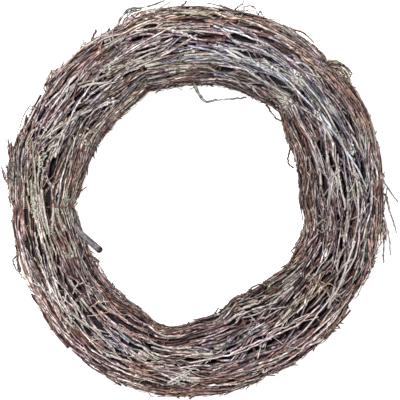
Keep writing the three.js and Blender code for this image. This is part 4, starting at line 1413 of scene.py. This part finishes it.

# the pressed middle of a bunch, seen only between the twigs; its dark colour is painted shade for the deep
# gaps
core = {"depth": 0.54, "across": (-0.42, 0, 0.42), "past": 1.2, "points": 10, "sides": 22, "oval": 0.06,
        "colour": (78, 69, 76)}


def addCore(tubes, index):
    start, end = ties[index] - core["past"], ties[index] + spans[index] + core["past"]
    angle = np.linspace(start, end, core["points"])
    inner, outer, low, high = sectionAt(angle)
    radius = np.minimum(outer - inner, high - low)[None] / 2 * core["depth"]
    flat = np.zeros((1, len(angle), 3))
    colour = flat + linear(core["colour"])
    for across in core["across"]:
        path = outOfSection(angle, np.full_like(angle, across), np.zeros_like(angle), 0)[None]
        tubes.add(path, radius, colour, flat, core["sides"], core["oval"], 3 + index)


def addPiece(name, mesh, material, node):
    piece = bpy.data.objects.new(name, mesh)
    bpy.context.scene.collection.objects.link(piece)
    mesh.materials.append(material)
    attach(piece, "root")
    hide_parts(node)
    return piece


def pickTubes(tubes, twigs, pick, sides, seed, stray=False):
    parts = [twigs[key][pick] for key in ("path", "radius", "colour", "facts")]
    tubes.add(*parts, sides, seed=seed, stray=stray)


triangles = 0
for index in range(bunchCount):
    innerTubes, outerTubes = Tubes(), Tubes()
    addCore(innerTubes, index)
    for sides in np.unique(twigs["sides"]).tolist():
        for deep, tubes in ((True, innerTubes), (False, outerTubes)):
            pick = (twigs["bunch"] == index) & (twigs["sides"] == sides) & (twigs["deep"] == deep)
            pickTubes(tubes, twigs, pick, sides, 100 + index * 10 + sides)
    for order, (name, growing) in enumerate(grown.items()):
        # sprigs get painted light from above, the rest painted light on the side that faces out of the ring
        pickTubes(outerTubes, growing, growing["bunch"] == index, growing["sides"], 500 + index * 20 + order,
                  name == "sprig")
    name = f"bunch_{index + 1:02d}"
    inner = addPiece(name + "_inner_twigs", innerTubes.mesh("inner"), shadedBark, "twig_" + name)
    outer = addPiece(name + "_outer_twigs", outerTubes.mesh("outer"), bark, "twig_" + name)
    triangles += sum(len(piece.data.loops) - 2 * len(piece.data.polygons) for piece in (inner, outer))
print("wreath: bunches made,", triangles, "triangles")

# binding wire: two turns at every tie and a twisted end
wire = {
    "radius": 0.52,
    "turns": 2,
    "lead": 1.25,           # between one turn and the next
    "steps": 56,            # points for every turn
    "sides": 6,
    "oval": 0.03,
    "inset": 4.2,           # how deep it lies between the twigs
    "bareInset": 1.3,       # and on the one tie that shows
    "hiddenAcross": (-0.42, 0.5),   # a mossy bundle hides it here
    "hiddenInset": 11,
    "slant": 1,
    "sway": 0.8,
    "wobble": 0.35,
    "knot": [55, 35, 100, 55, 140, 40, 80, 125, 60, 75, 150],
    "twistLength": 7,
    "twistTurns": 2.5,
    "twistPoints": 30,
    "twistRise": 0.45,
    "twistAlong": 0.8,
    "twistOpen": 0.85,      # the two ends part from here on
    "blotch": (0.5, 0.5, 0.35),
    "grain": (2.5, 2.5, 2.5),
    "dark": (84, 60, 54),
    "rust": (136, 100, 86),
}


def wireTurns(angle, knot, bare, own):
    steps = wire["turns"] * wire["steps"]
    turn = np.radians(knot + np.linspace(0, 360 * wire["turns"], steps))
    across, up = onOutline(turn)
    low, high = wire["hiddenAcross"]
    hidden = ramp(across, low, low + 0.06) * (1 - ramp(across, high - 0.1, high)) * (up > 0)
    inset = wire["inset"]
    if bare:
        inset = wire["bareInset"] + (wire["hiddenInset"] - wire["bareInset"]) * hidden
    lean = np.linspace(-0.5, 0.5, steps) * wire["lead"] * wire["turns"]
    lean = lean + own.normal(0, wire["slant"]) * np.sin(turn)
    lean = lean + own.normal(0, wire["sway"]) * np.cos(turn + own.uniform(0, 6))
    place = outOfSection(angle + np.degrees(lean / 150), across, up, inset)
    bumps = np.convolve(own.normal(0, wire["wobble"], steps + 4), np.ones(5) / 5, "valid")
    middle = outOfSection(np.full(steps, angle), np.zeros(steps), np.zeros(steps), 0)
    return place + unit(place - middle) * bumps[:, None]


def twistedEnd(start, out, along):
    # two ends wound round each other, leaning over along the ring
    share = np.linspace(0, 1, wire["twistPoints"])
    rise, lean = wire["twistLength"] * wire["twistRise"], wire["twistLength"] * wire["twistAlong"]
    middle = start + out * (share * rise)[:, None] + along * (share ** 2 * lean)[:, None]
    beside = np.cross(out, along)
    turn = share * wire["twistTurns"] * 2 * math.pi
    spread = wire["radius"] * (1.02 + 2.2 * ramp(share, wire["twistOpen"], 1))
    return np.stack([middle + beside * (np.cos(turn + half) * spread)[:, None]
                     + along * (np.sin(turn + half) * spread)[:, None] for half in (0, math.pi)])


def makeWireMaterial():
    material, start = startMaterial("rusty_wire")
    place = start.layer("barkPlace")
    grain = (place * wire["grain"]).noise(2.0, 0.6)
    rust = (place * wire["blotch"]).noise(4.0, 0.65).clear(0.38, 0.6)
    finishMaterial(material, {
        "Base Color": rust.between(wire["dark"], wire["rust"]) * (0.6 + 0.8 * grain),
        "Roughness": 0.5 + 0.35 * rust,
        "Metallic": 0.55 - 0.5 * rust,
        "Normal": grain.bump(0.4, 0.0002),
    }, {})
    return material


rustyWire = makeWireMaterial()
for index, angle in enumerate(ties):
    own = np.random.default_rng(70 + index)
    turns = wireTurns(angle, wire["knot"][index], index == ring["bareTie"], own)
    out = unit(turns[0] - outOfSection(np.array(angle), 0.0, 0.0, 0))
    along = np.array([-math.sin(math.radians(angle)), math.cos(math.radians(angle)), 0.0])
    tubes = Tubes()
    for path in (turns[None], twistedEnd(turns[0] - out * 0.4, out, along)):
        flat = np.zeros(path.shape)
        radius = np.full(path.shape[:2], wire["radius"])
        tubes.add(path, radius, flat, flat, wire["sides"], wire["oval"], 80 + index)
    name = f"tie_wire_{index + 1:02d}"
    addPiece(f"{name}_turns", tubes.mesh("wire"), rustyWire, name)
print("wreath: ties bound")

# the thick cut stem that leaves the ring at the left of the hole
stem = {
    "route": [(-92.7, 120.9, 29), (-112, 104.5, 30), (-127, 84.5, 31), (-138, 62, 31), (-144, 37, 31),
              (-144.3, 13, 32), (-138.5, -5, 33), (-129, -19, 35), (-121, -31, 37), (-110.5, -40.5, 39),
              (-100.2, -49.4, 40)],
    "radius": 3.0,
    "endRadius": 3.6,
    "flare": 0.12,          # share of the length that widens towards the cut
    "points": 84,
    "sides": 16,
    "oval": 0.02,
    # the cut face is a few rings that step in to the pith: how far out and how wide each is
    "face": [(0.0, 1.0), (0.35, 0.97), (0.6, 0.86), (0.62, 0.62), (0.5, 0.42), (0.5, 0.2)],
    "barkRings": 2,         # how many of these are still bark
    "pithRings": 3,         # and how many are pith
    "slant": 0.75,          # the cut faces up by this much
    "slantFrom": 9,
    "knots": [0.35, 0.62, 0.83, 0.93],
    "knotWidth": 0.008,
    "knotSwell": 0.05,
    "knotFact": 0.6,
    "rough": 0.012,
    "weather": 0.05,
    "lichen": -0.6,
    "bark": (92, 88, 94),
    "wood": (120, 98, 92),
    "pith": (58, 34, 34),
}


def smoothLine(points, count):
    # a curve through the points, at even steps
    points = np.array(points, float)
    before = np.vstack([2 * points[0] - points[1], points, 2 * points[-1] - points[-2]])
    t = np.linspace(0, 1, 12, endpoint=False)[:, None]
    line = []
    for a, b, c, d in zip(before, before[1:], before[2:], before[3:]):
        line.append(b + (c - a) / 2 * t + (a - 2.5 * b + 2 * c - d / 2) * t ** 2
                    + (3 * b - a - 3 * c + d) / 2 * t ** 3)
    return evenly(np.vstack([*line, points[-1:]]), count)


def makeStem():
    own = np.random.default_rng(91)
    path = smoothLine(stem["route"], stem["points"])
    share = np.linspace(0, 1, stem["points"])
    radius = stem["radius"] + (stem["endRadius"] - stem["radius"]) * ramp(share, 1 - stem["flare"], 1)
    knot = np.exp(-((share[:, None] - stem["knots"]) / stem["knotWidth"]) ** 2).max(axis=1)
    radius = radius * (1 + stem["knotSwell"] * knot + stem["rough"] * own.normal(size=len(share)))
    way = unit(path[-1] - path[-2])
    path = np.vstack([path[:-1], [path[-1] + way * step for step, _ in stem["face"]]])
    radius = np.concatenate([radius[:-1], [stem["endRadius"] * wide for _, wide in stem["face"]]])
    cut = len(path) - len(stem["face"]) + stem["barkRings"]
    colour = np.tile(linear(stem["bark"]), (len(path), 1))
    colour[cut:] = linear(stem["wood"])
    colour[-stem["pithRings"]:] = linear(stem["pith"])
    facts = np.tile((stem["weather"], stem["lichen"], 0.0), (len(path), 1))
    facts[cut:, 0] = 0
    facts[:len(knot) - 1, 2] = stem["knotFact"] * knot[:-1]
    tubes = Tubes()
    parts = [part[None] for part in (path, radius, colour, facts)]
    # the stem gets painted light on its upper side and painted shade beneath
    tubes.add(*parts, stem["sides"], stem["oval"], 93, stray=True)
    mesh = tubes.mesh("stem")
    # the cut is slanted: what is above the middle line is drawn back along the stem
    places = np.zeros(len(mesh.vertices) * 3, np.float32)
    mesh.vertices.foreach_get("co", places)
    places = places.reshape(-1, 3)
    offset = places / mm - path[-len(stem["face"])]
    near = ramp(offset @ way, -stem["slantFrom"], 0) ** 2
    places -= (way[None] * (near * offset[:, 2] * stem["slant"])[:, None] * mm).astype(np.float32)
    mesh.vertices.foreach_set("co", places.ravel())
    mesh.update()
    return mesh


addPiece("thick_stem_bark", makeStem(), bark, "thick_stem")
print("wreath: stem laid")

# floor, light and camera; the studio is in metres
studio = {
    "floorSize": 6.0,
    "floorColour": (246, 246, 245),
    "floorGlow": 0.9,
    "worldStrength": 0.47,
    "keyPower": 37,
    "keySize": 0.35,
    "keyPlace": (-0.4, 0.42, 1.75),
    "cameraHeight": 2.2,
    "frameWidth": 0.4,
    "frameLevel": 0.03,
    "sensor": 36,
}


def makeFloor():
    half = studio["floorSize"] / 2
    mesh = bpy.data.meshes.new("floor")
    corners = [(-half, -half, 0), (half, -half, 0), (half, half, 0), (-half, half, 0)]
    mesh.from_pydata(corners, [], [(0, 1, 2, 3)])
    floor = bpy.data.objects.new("floor", mesh)
    bpy.context.scene.collection.objects.link(floor)
    material, _ = startMaterial("pale_floor")
    tint = (*linear(studio["floorColour"]), 1)
    finishMaterial(material, {}, {"Base Color": tint, "Roughness": 0.9, "Specular IOR Level": 0.1,
                                  "Emission Color": tint, "Emission Strength": studio["floorGlow"]})
    mesh.materials.append(material)


def makeLights():
    world = bpy.data.worlds.new("studio")
    world.use_nodes = True
    world.node_tree.nodes["Background"].inputs[0].default_value = (1, 1, 1, 1)
    world.node_tree.nodes["Background"].inputs[1].default_value = studio["worldStrength"]
    bpy.context.scene.world = world
    lamp = bpy.data.lights.new("key", "AREA")
    lamp.energy, lamp.size = studio["keyPower"], studio["keySize"]
    key = bpy.data.objects.new("key", lamp)
    key.location = studio["keyPlace"]
    key.rotation_euler = (-Vector(studio["keyPlace"])).to_track_quat("-Z", "Y").to_euler()
    bpy.context.scene.collection.objects.link(key)


def makeCamera():
    camera = bpy.data.objects.new("camera", bpy.data.cameras.new("camera"))
    bpy.context.scene.collection.objects.link(camera)
    camera.location = (0, 0, studio["frameLevel"] + studio["cameraHeight"])
    camera.data.sensor_width = studio["sensor"]
    camera.data.lens = studio["sensor"] * studio["cameraHeight"] / studio["frameWidth"]
    bpy.context.scene.camera = camera


makeFloor()
makeLights()
makeCamera()
bpy.context.scene.view_settings.view_transform = "Standard"
print("wreath: studio set")
